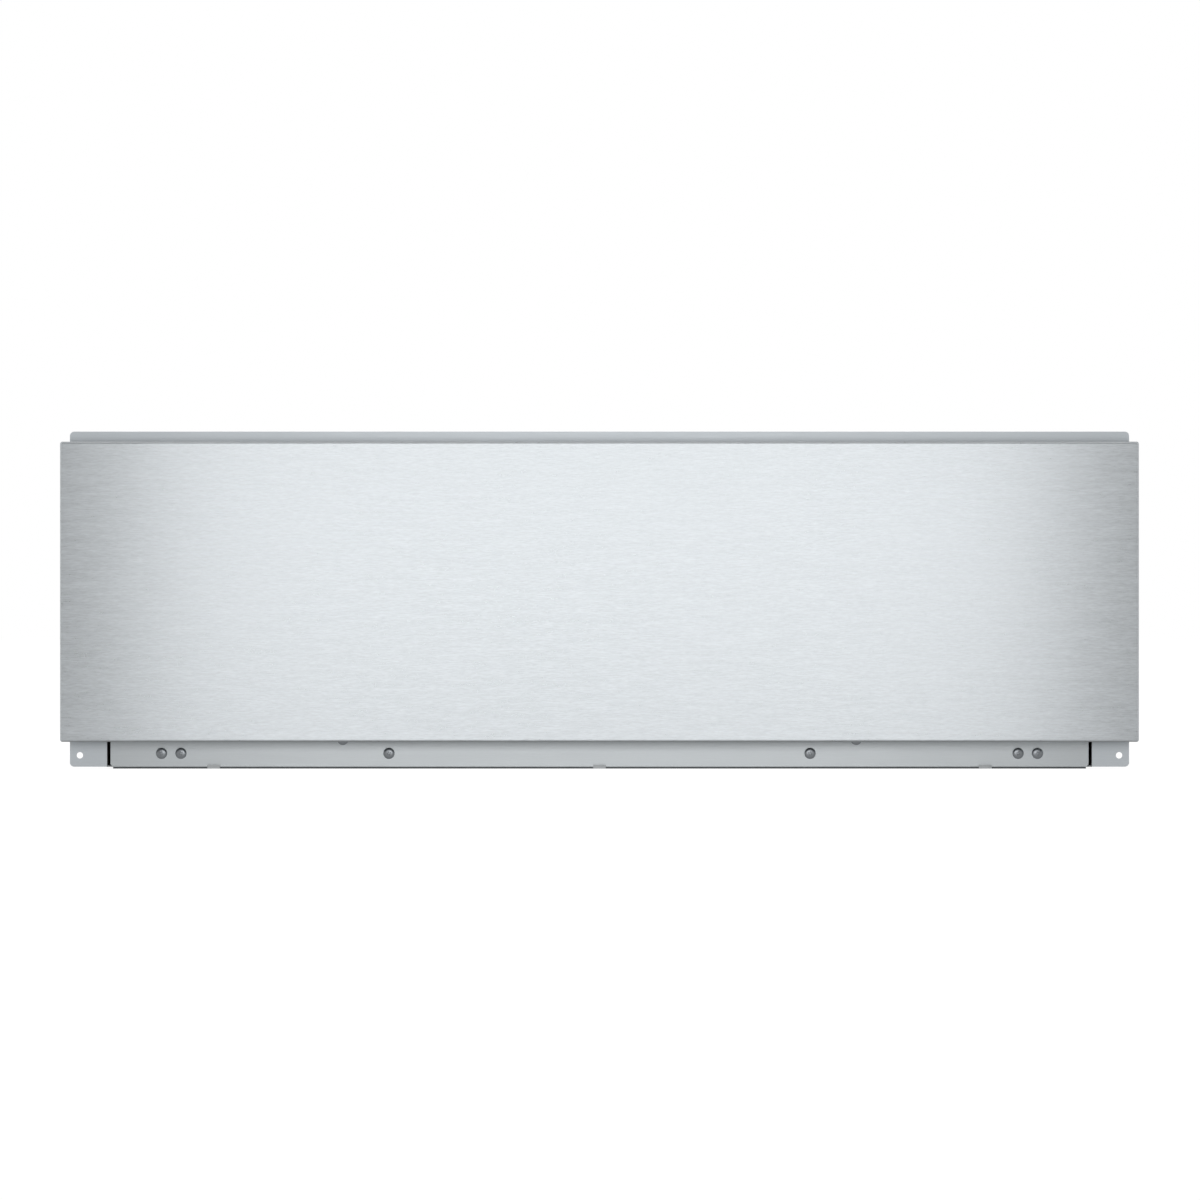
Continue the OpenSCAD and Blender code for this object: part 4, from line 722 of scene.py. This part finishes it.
def pan_head(head_h, shank):
    """A screw with a round head, a shank and a cross recess."""
    screw = drum("screw", (0, (CROWN - head_h) / 2, 0), HEAD_R, head_h - CROWN, 36)
    pick(screw, "FACE", facing(1, 1))
    inset(HEAD_R - SHANK_R)
    extrude((0, shank, 0))
    pick(screw, "EDGE", lambda m, d: near_to(m.y, CROWN - head_h))
    bevel((head_h - CROWN) * 0.94, 6)
    pick(screw, "FACE", facing(1, -1))
    inset(CROWN_EDGE)
    shift((0, -CROWN, 0))
    for wide, tall in ((CROSS_L, CROSS_W), (CROSS_W, CROSS_L)):
        cutter = cube("cutter", (-wide / 2, -head_h - MM, -tall / 2),
                      (wide / 2, -head_h + CROSS_DEPTH, tall / 2))
        pick(cutter, "FACE", facing(1, 1))
        stretch((0.5, 1, 0.5), (0, 0, 0))
        modify(screw, "BOOLEAN", operation="DIFFERENCE", object=cutter, solver="EXACT")
        bpy.data.objects.remove(cutter)
    outwards(screw)
    return screw


# %% Find where the solids have their screws
def loose_parts(node):
    """The boxes of the separate solids of a node, in the order of their places."""
    mesh = bmesh.new()
    mesh.from_mesh(nodes[node].data)
    bmesh.ops.remove_doubles(mesh, verts=mesh.verts, dist=0.01 * MM)
    left, boxes = set(mesh.verts), []
    while left:
        stack, part = [left.pop()], []
        while stack:
            corner = stack.pop()
            part.append(corner.co.copy())
            for edge in corner.link_edges:
                other = edge.other_vert(corner)
                if other in left:
                    left.discard(other)
                    stack.append(other)
        boxes.append((Vector([min(c[i] for c in part) for i in range(3)]),
                      Vector([max(c[i] for c in part) for i in range(3)])))
    mesh.free()
    return sorted(boxes, key=lambda box: [round(v, 4) for v in box[0]])


def faces_towards(node, low, high):
    """The way that a screw's head faces: along the short side of its box, away from its sheet."""
    if node == "rail_screws":
        return "-y"
    size = high - low
    if size.z < min(size.x, size.y):
        return "+z"
    if size.y < size.x:
        return "+y"
    outside = low.x > 0 if node == "case_screws" else low.x < 0
    return "+x" if outside else "-x"


# %% Put the screws in their places
HEAD_H = {"rail_screws": 2.2, "case_screws": 2.2, "drawer_screws": 1.5}
TURNS = {"-y": (0, 0, 0), "+y": (0, 0, 180), "+z": (-90, 0, 0), "+x": (0, 0, 90),
         "-x": (0, 0, -90)}


def set_screws(name, node, body):
    """Sets copies of the screws at a node's places and joins them to one piece."""
    head_h = HEAD_H[node] * MM
    made, kinds = [], {}
    for number, (low, high) in enumerate(loose_parts(node)):
        way = faces_towards(node, low, high)
        axis = "xyz".index(way[1])
        length = round(high[axis] - low[axis] - head_h, 4)
        if length not in kinds:
            kinds[length] = pan_head(head_h, length)
        place = (low + high) / 2
        place[axis] = high[axis] - head_h if way[0] == "+" else low[axis] + head_h
        twin = copy_of(kinds[length], f"{name}_{number}")
        spin = 0.35 + 0.8 * number
        turn = [math.radians(a) for a in TURNS[way]]
        twin.rotation_euler = (turn[0], 0, spin) if way == "+z" else (turn[0], spin, turn[2])
        twin.location = place
        made.append(twin)
    for kind in kinds.values():
        bpy.data.objects.remove(kind)
    bpy.context.view_layer.update()
    settle(own_place(join(name, *made)), body, screw_steel, "screw_steel", node)


set_screws("strip_screws", "rail_screws", "chassis")
set_screws("sheet_screws", "case_screws", "chassis")
set_screws("box_screws", "drawer_screws", "drawer")

# %% [markdown]
# ## The warming pan
# The pan is drawn from one stainless sheet: its corners and its floor's edge are round, and its
# rim turns out flat to hang on the drawer's frame. The block loses its lid, two bevels give the
# draw radii, and the top edge is drawn outwards before the skin gets its wall.

# %% The warming pan
low, high = BOX["warming_pan"]
SIDE_RIM, FRONT_RIM, BACK_RIM = 4.0 * MM, 3.0 * MM, 4.6 * MM
CORNER_R, FLOOR_R, RIM_R = 18 * MM, 7 * MM, 1.2 * MM
in_low = Vector((low.x + SIDE_RIM, low.y + FRONT_RIM, low.z))
in_high = Vector((high.x - SIDE_RIM, high.y - BACK_RIM, high.z - SHEET))
pan = cube("warming_tray", in_low, in_high)
pick(pan, "EDGE", lambda m, d: abs(d.z) > 0.9)
bevel(CORNER_R, 9)
delete_faces(pan, facing(2, 1))
pick(pan, "EDGE", lambda m, d: near_to(m.z, in_low.z) and abs(d.z) < 0.1)
bevel(FLOOR_R, 5)
pick(pan, "EDGE", lambda m, d: near_to(m.z, in_high.z) and abs(d.z) < 0.1)
bpy.ops.mesh.extrude_edges_move()
middle, outer, inner = (in_low + in_high) / 2, high - low, in_high - in_low
stretch((outer.x / inner.x, outer.y / inner.y, 1), (middle.x, middle.y, in_high.z))
shift((0, (low.y + high.y) / 2 - middle.y, 0))
HAIR = 0.01 * MM
pick(pan, "EDGE", lambda m, d: near_to(m.z, in_high.z) and abs(d.z) < 0.1
     and in_low.x - HAIR < m.x < in_high.x + HAIR and in_low.y - HAIR < m.y < in_high.y + HAIR)
bevel(RIM_R, 3)
thicken(pan, SHEET)
settle(pan, "drawer", pan_steel, "inner_steel", "warming_pan", angle=40)

# %% [markdown]
# ## The inner front panel
# Behind the front there is a second sheet, which shows when the drawer is out. A shallow pressed
# field between the drawer's screws keeps such a wide sheet from rattling.

# %% The inner front panel
low, high = BOX["front_inner_panel"]
INNER_FOLD, MARGIN, FIELD_X = 1.2 * MM, 22 * MM, 286 * MM
FIELD_CORNER, FIELD_SLOPE, FIELD_DEPTH = 10 * MM, 2.5 * MM, 0.9 * MM
field_z = (low.z + high.z) / 2


def is_field(middle, direction):
    """A test for the face in the middle of the sheet."""
    return direction.y > 0.9 and abs(middle.x) < 10 * MM and abs(middle.z - field_z) < 30 * MM


inner_skin = cube("inner_skin", low, high)
pick(inner_skin, "EDGE", lambda m, d: near_to(m.y, high.y) or abs(d.y) > 0.9)
bevel(INNER_FOLD, 3)
delete_faces(inner_skin, facing(1, -1))
pick(inner_skin, "FACE", facing(1, 1))
inset(MARGIN)
pick(inner_skin, "FACE", is_field)
stretch((FIELD_X / (high.x - INNER_FOLD - MARGIN), 1, 1), (0, high.y, field_z))
pick(inner_skin, "VERT", lambda m, d: near_to(abs(m.x), FIELD_X, 2 * MM))
bevel(FIELD_CORNER, 6, kind="VERTICES")
pick(inner_skin, "FACE", is_field)
inset(FIELD_SLOPE)
shift((0, -FIELD_DEPTH, 0))
thicken(inner_skin, SHEET)
settle(inner_skin, "drawer", fascia_steel, "inner_steel", "front_inner_panel")

# %% [markdown]
# ## The control bezel
# A black moulded cup is let into the strip above the cavity. It starts as its lip, a flat
# rectangle with round corners. The lip is inset to the pocket's outline, pushed in to the
# pocket's floor and rounded along its edges. Raised white marks stand round the knob's place.

# %% The control bezel
low, high = BOX["control_bezel"]
CUP_FLOOR, LIP, LIP_W, LIP_CORNER = 1.5 * MM, 1.4 * MM, 3.3 * MM, 4.2 * MM
FLOOR_ROUND, LIP_ROUND = 1.6 * MM, 0.5 * MM
lip_y, floor_y = low.y, high.y - CUP_FLOOR
bezel_mid = Vector(((low.x + high.x) / 2, 0, (low.z + high.z) / 2))
bezel = cube("control_cup", (low.x, lip_y, low.z), (high.x, lip_y + LIP, high.z))
pick(bezel, "EDGE", lambda m, d: abs(d.y) > 0.9)
bevel(LIP_CORNER, 6)
pick(bezel, "FACE", facing(1, -1))
inset(LIP_W)
stretch((0.982, 1, 1), bezel_mid)
extrude((0, floor_y - lip_y, 0))
stretch((0.99, 1, 0.965), bezel_mid)
pick(bezel, "EDGE", lambda m, d: near_to(m.y, floor_y) and abs(d.y) < 0.1)
bevel(FLOOR_ROUND, 4)
pick(bezel, "EDGE", lambda m, d: near_to(m.y, lip_y) and abs(d.y) < 0.1)
bevel(LIP_ROUND, 3)
delete_faces(bezel, lambda m, d: d.y > 0.9 and near_to(m.y, lip_y + LIP))
settle(bezel, "chassis", black_plastic, "black_plastic", "control_bezel")

# %% The marks round the knob
knob_low, knob_high = BOX["temperature_knob"]
knob_mid = (knob_low + knob_high) / 2
MARKS, FIRST_MARK, SWEEP = 11, 225, 270
MARK_IN, MARK_W, MARK_ROUND = 14.4 * MM, 0.6 * MM, 0.1 * MM
MARK_RISE, MARK_SUNK = 0.25 * MM, 0.2 * MM
marks = []
for number in range(MARKS):
    share = number / (MARKS - 1)
    mark_l = (0.9 + 0.9 * share) * MM
    mark = cube(f"mark_{number}", (MARK_IN, floor_y - MARK_RISE, -MARK_W / 2),
                (MARK_IN + mark_l, floor_y + MARK_SUNK, MARK_W / 2))
    pick(mark, "EDGE", lambda m, d: near_to(m.y, floor_y - MARK_RISE))
    bevel(MARK_ROUND, 2)
    mark.rotation_euler = (0, math.radians(SWEEP * share - FIRST_MARK), 0)
    mark.location = (knob_mid.x, 0, knob_mid.z)
    marks.append(own_place(mark))
settle(join("dial_marks", *marks), "chassis", white_mark, "black_plastic")

# %% [markdown]
# ## The temperature knob
# The knob is turned from one cylinder: a skirt, a step up to the hub, and a grip bar across it
# with a white line that points at the marks. The edges are rounded, as a moulding's are.

# %% The knob
SKIRT, SKIRT_SLOPE, SKIRT_CROWN, SKIRT_ROUND = 4 * MM, 1.2 * MM, 0.5 * MM, 0.5 * MM
SKIRT_FLAT, HUB_EDGE, HUB = 2.4 * MM, 0.7 * MM, 1.6 * MM
radius = (knob_high.x - knob_low.x) / 2
knob = drum("knob_skirt", (knob_mid.x, knob_high.y - SKIRT / 2, knob_mid.z), radius, SKIRT, 64)
pick(knob, "FACE", facing(1, -1))
inset(SKIRT_SLOPE)
shift((0, -SKIRT_CROWN, 0))
inset(SKIRT_FLAT)
inset(HUB_EDGE)
extrude((0, -HUB, 0))
pick(knob, "EDGE", lambda m, d: near_to(m.y, knob_high.y - SKIRT) and abs(d.y) < 0.1)
bevel(SKIRT_ROUND, 3)
print(knob.name, "has a radius of", round(radius / MM, 2), "mm")

# %% The knob's grip
LINE_RISE, GRIP_BACK, GRIP_ROUND = 0.15 * MM, 1 * MM, 0.9 * MM
grip_w, reach = radius * 2 * 0.28, radius * 0.93
grip_y = knob_low.y + LINE_RISE
grip = cube("grip", (knob_mid.x - grip_w / 2, grip_y, knob_mid.z - reach),
            (knob_mid.x + grip_w / 2, knob_high.y - GRIP_BACK, knob_mid.z + reach))
pick(grip, "FACE", facing(1, -1))
stretch((0.72, 1, 0.94), (knob_mid.x, grip_y, knob_mid.z))
pick(grip, "EDGE", anywhere)
bevel(GRIP_ROUND, 4)
settle(join("knob_skirt", knob, grip), "knob", black_plastic, "black_plastic", "temperature_knob")

# %% The knob's white line
LINE_W, LINE_DEPTH, LINE_IN = 1.2 * MM, 2 * MM, 3 * MM
pointer = cube("knob_pointer", (knob_mid.x - LINE_W / 2, knob_low.y, knob_mid.z + LINE_IN),
               (knob_mid.x + LINE_W / 2, knob_low.y + LINE_DEPTH, knob_mid.z + radius * 0.78))
pick(pointer, "FACE", anywhere)
bevel(MARK_ROUND, 2)
settle(pointer, "knob", white_mark, "black_plastic")

# %% [markdown]
# ## The rocker switch
# A rocker is a short block whose front is dished: one end stands out and the other lies in. The
# dish comes from cutting the front into strips and moving its middle back. It rests tilted to off.

# %% The rocker
low, high = BOX["power_rocker"]
PIVOT_DEPTH, TILT, DISH = 5 * MM, 7, 1.25 * MM
HALF_W, HALF_H = 6.0 * MM, 8.7 * MM
FACE_OUT, BACK_OUT, ROCKER_ROUND = 7.2 * MM, 1.5 * MM, 0.6 * MM
pivot = Vector(((low.x + high.x) / 2, floor_y + PIVOT_DEPTH, bezel_mid.z))
rocker = cube("rocker", (pivot.x - HALF_W, pivot.y - FACE_OUT, pivot.z - HALF_H),
              (pivot.x + HALF_W, pivot.y - BACK_OUT, pivot.z + HALF_H))
pick(rocker, "EDGE", lambda m, d: abs(d.z) > 0.9)
bpy.ops.mesh.subdivide(number_cuts=5)
pick(rocker, "VERT", lambda m, d: near_to(m.y, pivot.y - FACE_OUT, 0.3 * MM))
mesh = bmesh.from_edit_mesh(rocker.data)
for corner in mesh.verts:
    if corner.select:
        corner.co.y += DISH * (1 - ((corner.co.z - pivot.z) / HALF_H) ** 2)
bmesh.update_edit_mesh(rocker.data)
pick(rocker, "EDGE", lambda m, d: m.y < pivot.y - PIVOT_DEPTH
     and (near_to(abs(m.x - pivot.x), HALF_W) or near_to(abs(m.z - pivot.z), HALF_H)))
bevel(ROCKER_ROUND, 3)
print(rocker.name, "is dished by", round(DISH / MM, 2), "mm")

# %% The rocker's marks for on and off
DASH_W, DASH_OUT, DASH_BACK, DASH_LOW, DASH_HIGH = [
    size * MM for size in (0.7, 7.0, 6.0, 4.2, 7.0)]
RING_R, RING_WIRE, RING_OUT, RING_LOW = 1.35 * MM, 0.3 * MM, 6.62 * MM, 5.4 * MM
dash = cube("dash", (pivot.x - DASH_W / 2, pivot.y - DASH_OUT, pivot.z + DASH_LOW),
            (pivot.x + DASH_W / 2, pivot.y - DASH_BACK, pivot.z + DASH_HIGH))
pick(dash, "EDGE", lambda m, d: near_to(m.y, pivot.y - DASH_OUT))
bevel(MARK_ROUND, 2)
ring = primitive("ring", bpy.ops.mesh.primitive_torus_add, major_radius=RING_R,
                 minor_radius=RING_WIRE, major_segments=32, minor_segments=10,
                 location=(pivot.x, pivot.y - RING_OUT, pivot.z - RING_LOW),
                 rotation=(math.radians(90), 0, 0))
print("marks", dash.name, ring.name)

# %% Tilt the rocker and its marks to off
tilt = Matrix.Rotation(math.radians(TILT), 4, "X")
marks = join("rocker_marks", dash, ring)
for piece in (rocker, marks):
    piece.data.transform(Matrix.Translation(pivot) @ tilt @ Matrix.Translation(-pivot))
settle(rocker, "rocker", gloss_black, "black_plastic", "power_rocker")
settle(marks, "rocker", white_mark, "black_plastic")

# %% [markdown]
# ## The lamp and the stop pads
# These are small turned or moulded parts, so each starts as a cylinder and gets its form from
# insets, extrusions and bevels.

# %% The lamp's lens
low, high = BOX["indicator_lamp"]
LENS_R, BRIM, BRIM_SUNK, BRIM_W = 4.2 * MM, 0.6 * MM, 0.1 * MM, 1.2 * MM
DOME, DOME_ROUND = 0.9 * MM, 0.4 * MM
lamp_mid = (low + high) / 2
lens = drum("lamp_lens", (lamp_mid.x, floor_y - (BRIM - BRIM_SUNK) / 2, lamp_mid.z), LENS_R,
            BRIM + BRIM_SUNK, 40)
pick(lens, "FACE", facing(1, -1))
inset(BRIM_W)
extrude((0, -DOME, 0))
pick(lens, "EDGE", lambda m, d: near_to(m.y, floor_y - BRIM - DOME)
     or near_to(m.y, floor_y - BRIM))
bevel(DOME_ROUND, 4)
settle(lens, "chassis", lamp_amber, "lamp", "indicator_lamp")

# %% The stop pads
PAD_ROUND, PAD_RING, PAD_HOLLOW = 1.1 * MM, 2.2 * MM, 0.7 * MM
pads = []
for number, (low, high) in enumerate(loose_parts("stop_pads")):
    middle = (low + high) / 2
    pad = drum(f"pad_{number}", middle, (high.x - low.x) / 2, high.y - low.y, 40)
    pick(pad, "EDGE", lambda m, d: near_to(m.y, low.y))
    bevel(PAD_ROUND, 5)
    pick(pad, "FACE", lambda m, d: near_to(m.y, low.y) and d.y < -0.999)
    inset(PAD_RING)
    extrude((0, PAD_HOLLOW, 0))
    stretch((0.8, 1, 0.8), middle)
    pads.append(pad)
settle(join("rubber_pads", *pads), "chassis", stop_rubber, "rubber", "stop_pads")

# %% [markdown]
# ## The catch's spring
# The coil behind the plunger's collar is right as it is in the solids, where it is stiff, though
# the real one shortens by the plunger's six millimetres as the plunger goes in. A copy of it, with
# its loose triangles merged and a mesh of its own, takes its place.

# %% The catch's spring
low, high = BOX["latch_spring"]
coil = copy_of(nodes["latch_spring"], "catch_spring")
outwards(coil)
settle(coil, "chassis", screw_steel, "screw_steel", "latch_spring")
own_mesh(coil)

# %% [markdown]
# ## The cord gland
# The gland is a hexagon nut on the terminal cover, a ribbed cap outside and a sleeve inside. Each
# is a cylinder of its own. The cap's ribs are every fourth of its sides, drawn out a little, and
# its bore and the sleeve's are pushed in.

# %% The gland's nut and cap
NUT_R, NUT_H, NUT_OFF, NUT_ROUND = 12 * MM, 4 * MM, 0.2 * MM, 0.8 * MM
CAP_R, CAP_SIDES, CAP_BORE_L = 9.6 * MM, 48, 9 * MM
RIB, CAP_EDGE, CAP_RING = 0.6 * MM, 2.0 * MM, 2.9 * MM
low, high = BOX["cable_gland"]
plate_y = BOX["terminal_cover"][1].y
gland_mid = Vector(((low.x + high.x) / 2, 0, (low.z + high.z) / 2))
gland = drum("gland_nut", (gland_mid.x, plate_y + NUT_H / 2 + NUT_OFF, gland_mid.z), NUT_R,
             NUT_H, 6)
pick(gland, "EDGE", lambda m, d: abs(d.y) > 0.9)
bevel(NUT_ROUND, 3)


def is_rib(middle, direction):
    """A test for every fourth side of the cap."""
    turn = math.degrees(math.atan2(direction.z, direction.x))
    return abs(direction.y) < 0.1 and round(turn / (360 / CAP_SIDES) - 0.5) % 4 == 0


cap = drum("cap", (gland_mid.x, (plate_y + NUT_H + high.y) / 2, gland_mid.z), CAP_R,
           high.y - plate_y - NUT_H, CAP_SIDES)
pick(cap, "FACE", is_rib)
bpy.ops.mesh.extrude_region_shrink_fatten(TRANSFORM_OT_shrink_fatten={"value": RIB})
pick(cap, "FACE", facing(1, 1))
inset(CAP_EDGE)
inset(CAP_RING)
extrude((0, -CAP_BORE_L, 0))
print(gland.name, "and", cap.name, "with", CAP_SIDES, "sides")

# %% The gland's sleeve
SLEEVE_R, SLEEVE_IN, SLEEVE_WALL = 8 * MM, 1 * MM, 2.8 * MM
SLEEVE_ROUND, SLEEVE_BORE_L = 0.5 * MM, 8 * MM
sleeve = drum("sleeve", (gland_mid.x, (low.y + plate_y + SLEEVE_IN) / 2, gland_mid.z),
              SLEEVE_R, plate_y - low.y + SLEEVE_IN, 40)
pick(sleeve, "EDGE", lambda m, d: near_to(m.y, low.y))
bevel(SLEEVE_ROUND, 3)
pick(sleeve, "FACE", facing(1, -1))
inset(SLEEVE_WALL)
extrude((0, SLEEVE_BORE_L, 0))
settle(join("gland_nut", gland, cap, sleeve), "chassis", black_plastic, "black_plastic",
       "cable_gland")

# %% [markdown]
# ## The runners
# A runner's members are rolled channels with round bends, which the balls run in. Each is a
# block that loses its open side and its ends. The right one is modelled, and the left one is its
# mirror image.

# %% The runners' members
RAIL_SHEET = 1.2 * MM


def rolled(node, name, open_side, bend):
    """A rolled channel in a node's box, for the right side and mirrored for the left."""
    low, high = BOX["right_" + node]
    rail = cube("right_" + name, low, high)
    back_x = low.x if open_side > 0 else high.x
    delete_faces(rail, lambda m, d: abs(d.y) > 0.9 or d.x * open_side > 0.9)
    pick(rail, "EDGE", lambda m, d: near_to(m.x, back_x) and abs(d.y) > 0.9)
    bevel(bend, 5)
    thicken(rail, RAIL_SHEET)
    return rail, copy_of(rail, "left_" + name, mirror_x=True)


for node, name, body, open_side, bend in (
        ("fixed_rail", "outer_channel", "chassis", -1, 2.2 * MM),
        ("middle_rail", "middle_channel", "{}_middle", -1, 2.0 * MM),
        ("drawer_rail", "inner_channel", "drawer", 1, 1.8 * MM)):
    for side, piece in zip(("right", "left"), rolled(node, name, open_side, bend)):
        settle(piece, body.format(side), zinc_parts, "zinc_steel", f"{side}_{node}")

# %% [markdown]
# ## Mineral wool
# The wool is soft: its slabs have round edges and an uneven skin. Each is a block with rounded
# edges that is cut fine and pushed in and out a little by a cloud pattern, inside its solid.

# %% A slab of wool
clouds = bpy.data.textures.new("wool_clouds", "CLOUDS")
clouds.noise_scale = 35 * MM
SLACK, CUT, PUFF = 1.2 * MM, 14 * MM, 1.8 * MM


def batt(name, low, high):
    """A slab of wool a little smaller than the space between two corners."""
    slack = Vector([SLACK] * 3)
    low, high = Vector(low) + slack, Vector(high) - slack
    slab = cube(name, low, high)
    size = high - low
    pick(slab, "EDGE", anywhere)
    bevel(min(size) * 0.3, 3)
    leave_edit()
    cuts = bmesh.new()
    cuts.from_mesh(slab.data)
    for axis in range(3):
        steps = int(size[axis] / CUT)
        for step in range(1, steps):
            plane, normal = Vector((0, 0, 0)), Vector((0, 0, 0))
            plane[axis], normal[axis] = low[axis] + size[axis] * step / steps, 1
            bmesh.ops.bisect_plane(cuts, geom=cuts.verts[:] + cuts.edges[:] + cuts.faces[:],
                                   plane_co=plane, plane_no=normal)
    cuts.to_mesh(slab.data)
    cuts.free()
    modify(slab, "DISPLACE", texture=clouds, strength=PUFF, mid_level=0.5,
           texture_coords="LOCAL")
    return slab


def wool(name, body, node, boxes):
    """The slabs of one node, joined."""
    slab = join(name, *[batt(f"{name}_{i}", *corners) for i, corners in enumerate(boxes)])
    settle(slab, body, mineral_wool, "mineral_wool", node, angle=60)


# %% The wool slabs
LEAD_GAP_Y = 257.5 * MM
low, high = BOX["insulation_top"]
wool("ceiling_wool", "chassis", "insulation_top", [(low, (high.x, LEAD_GAP_Y, high.z))])
for name, node in (("side_wool", "insulation_sides"), ("rear_wool", "insulation_rear"),
                   ("floor_wool", "insulation_floor")):
    wool(name, "chassis", node, loose_parts(node))
wool("front_wool", "drawer", "front_insulation",
     [(low, (high.x, high.y - SLACK, high.z)) for low, high in loose_parts("front_insulation")])
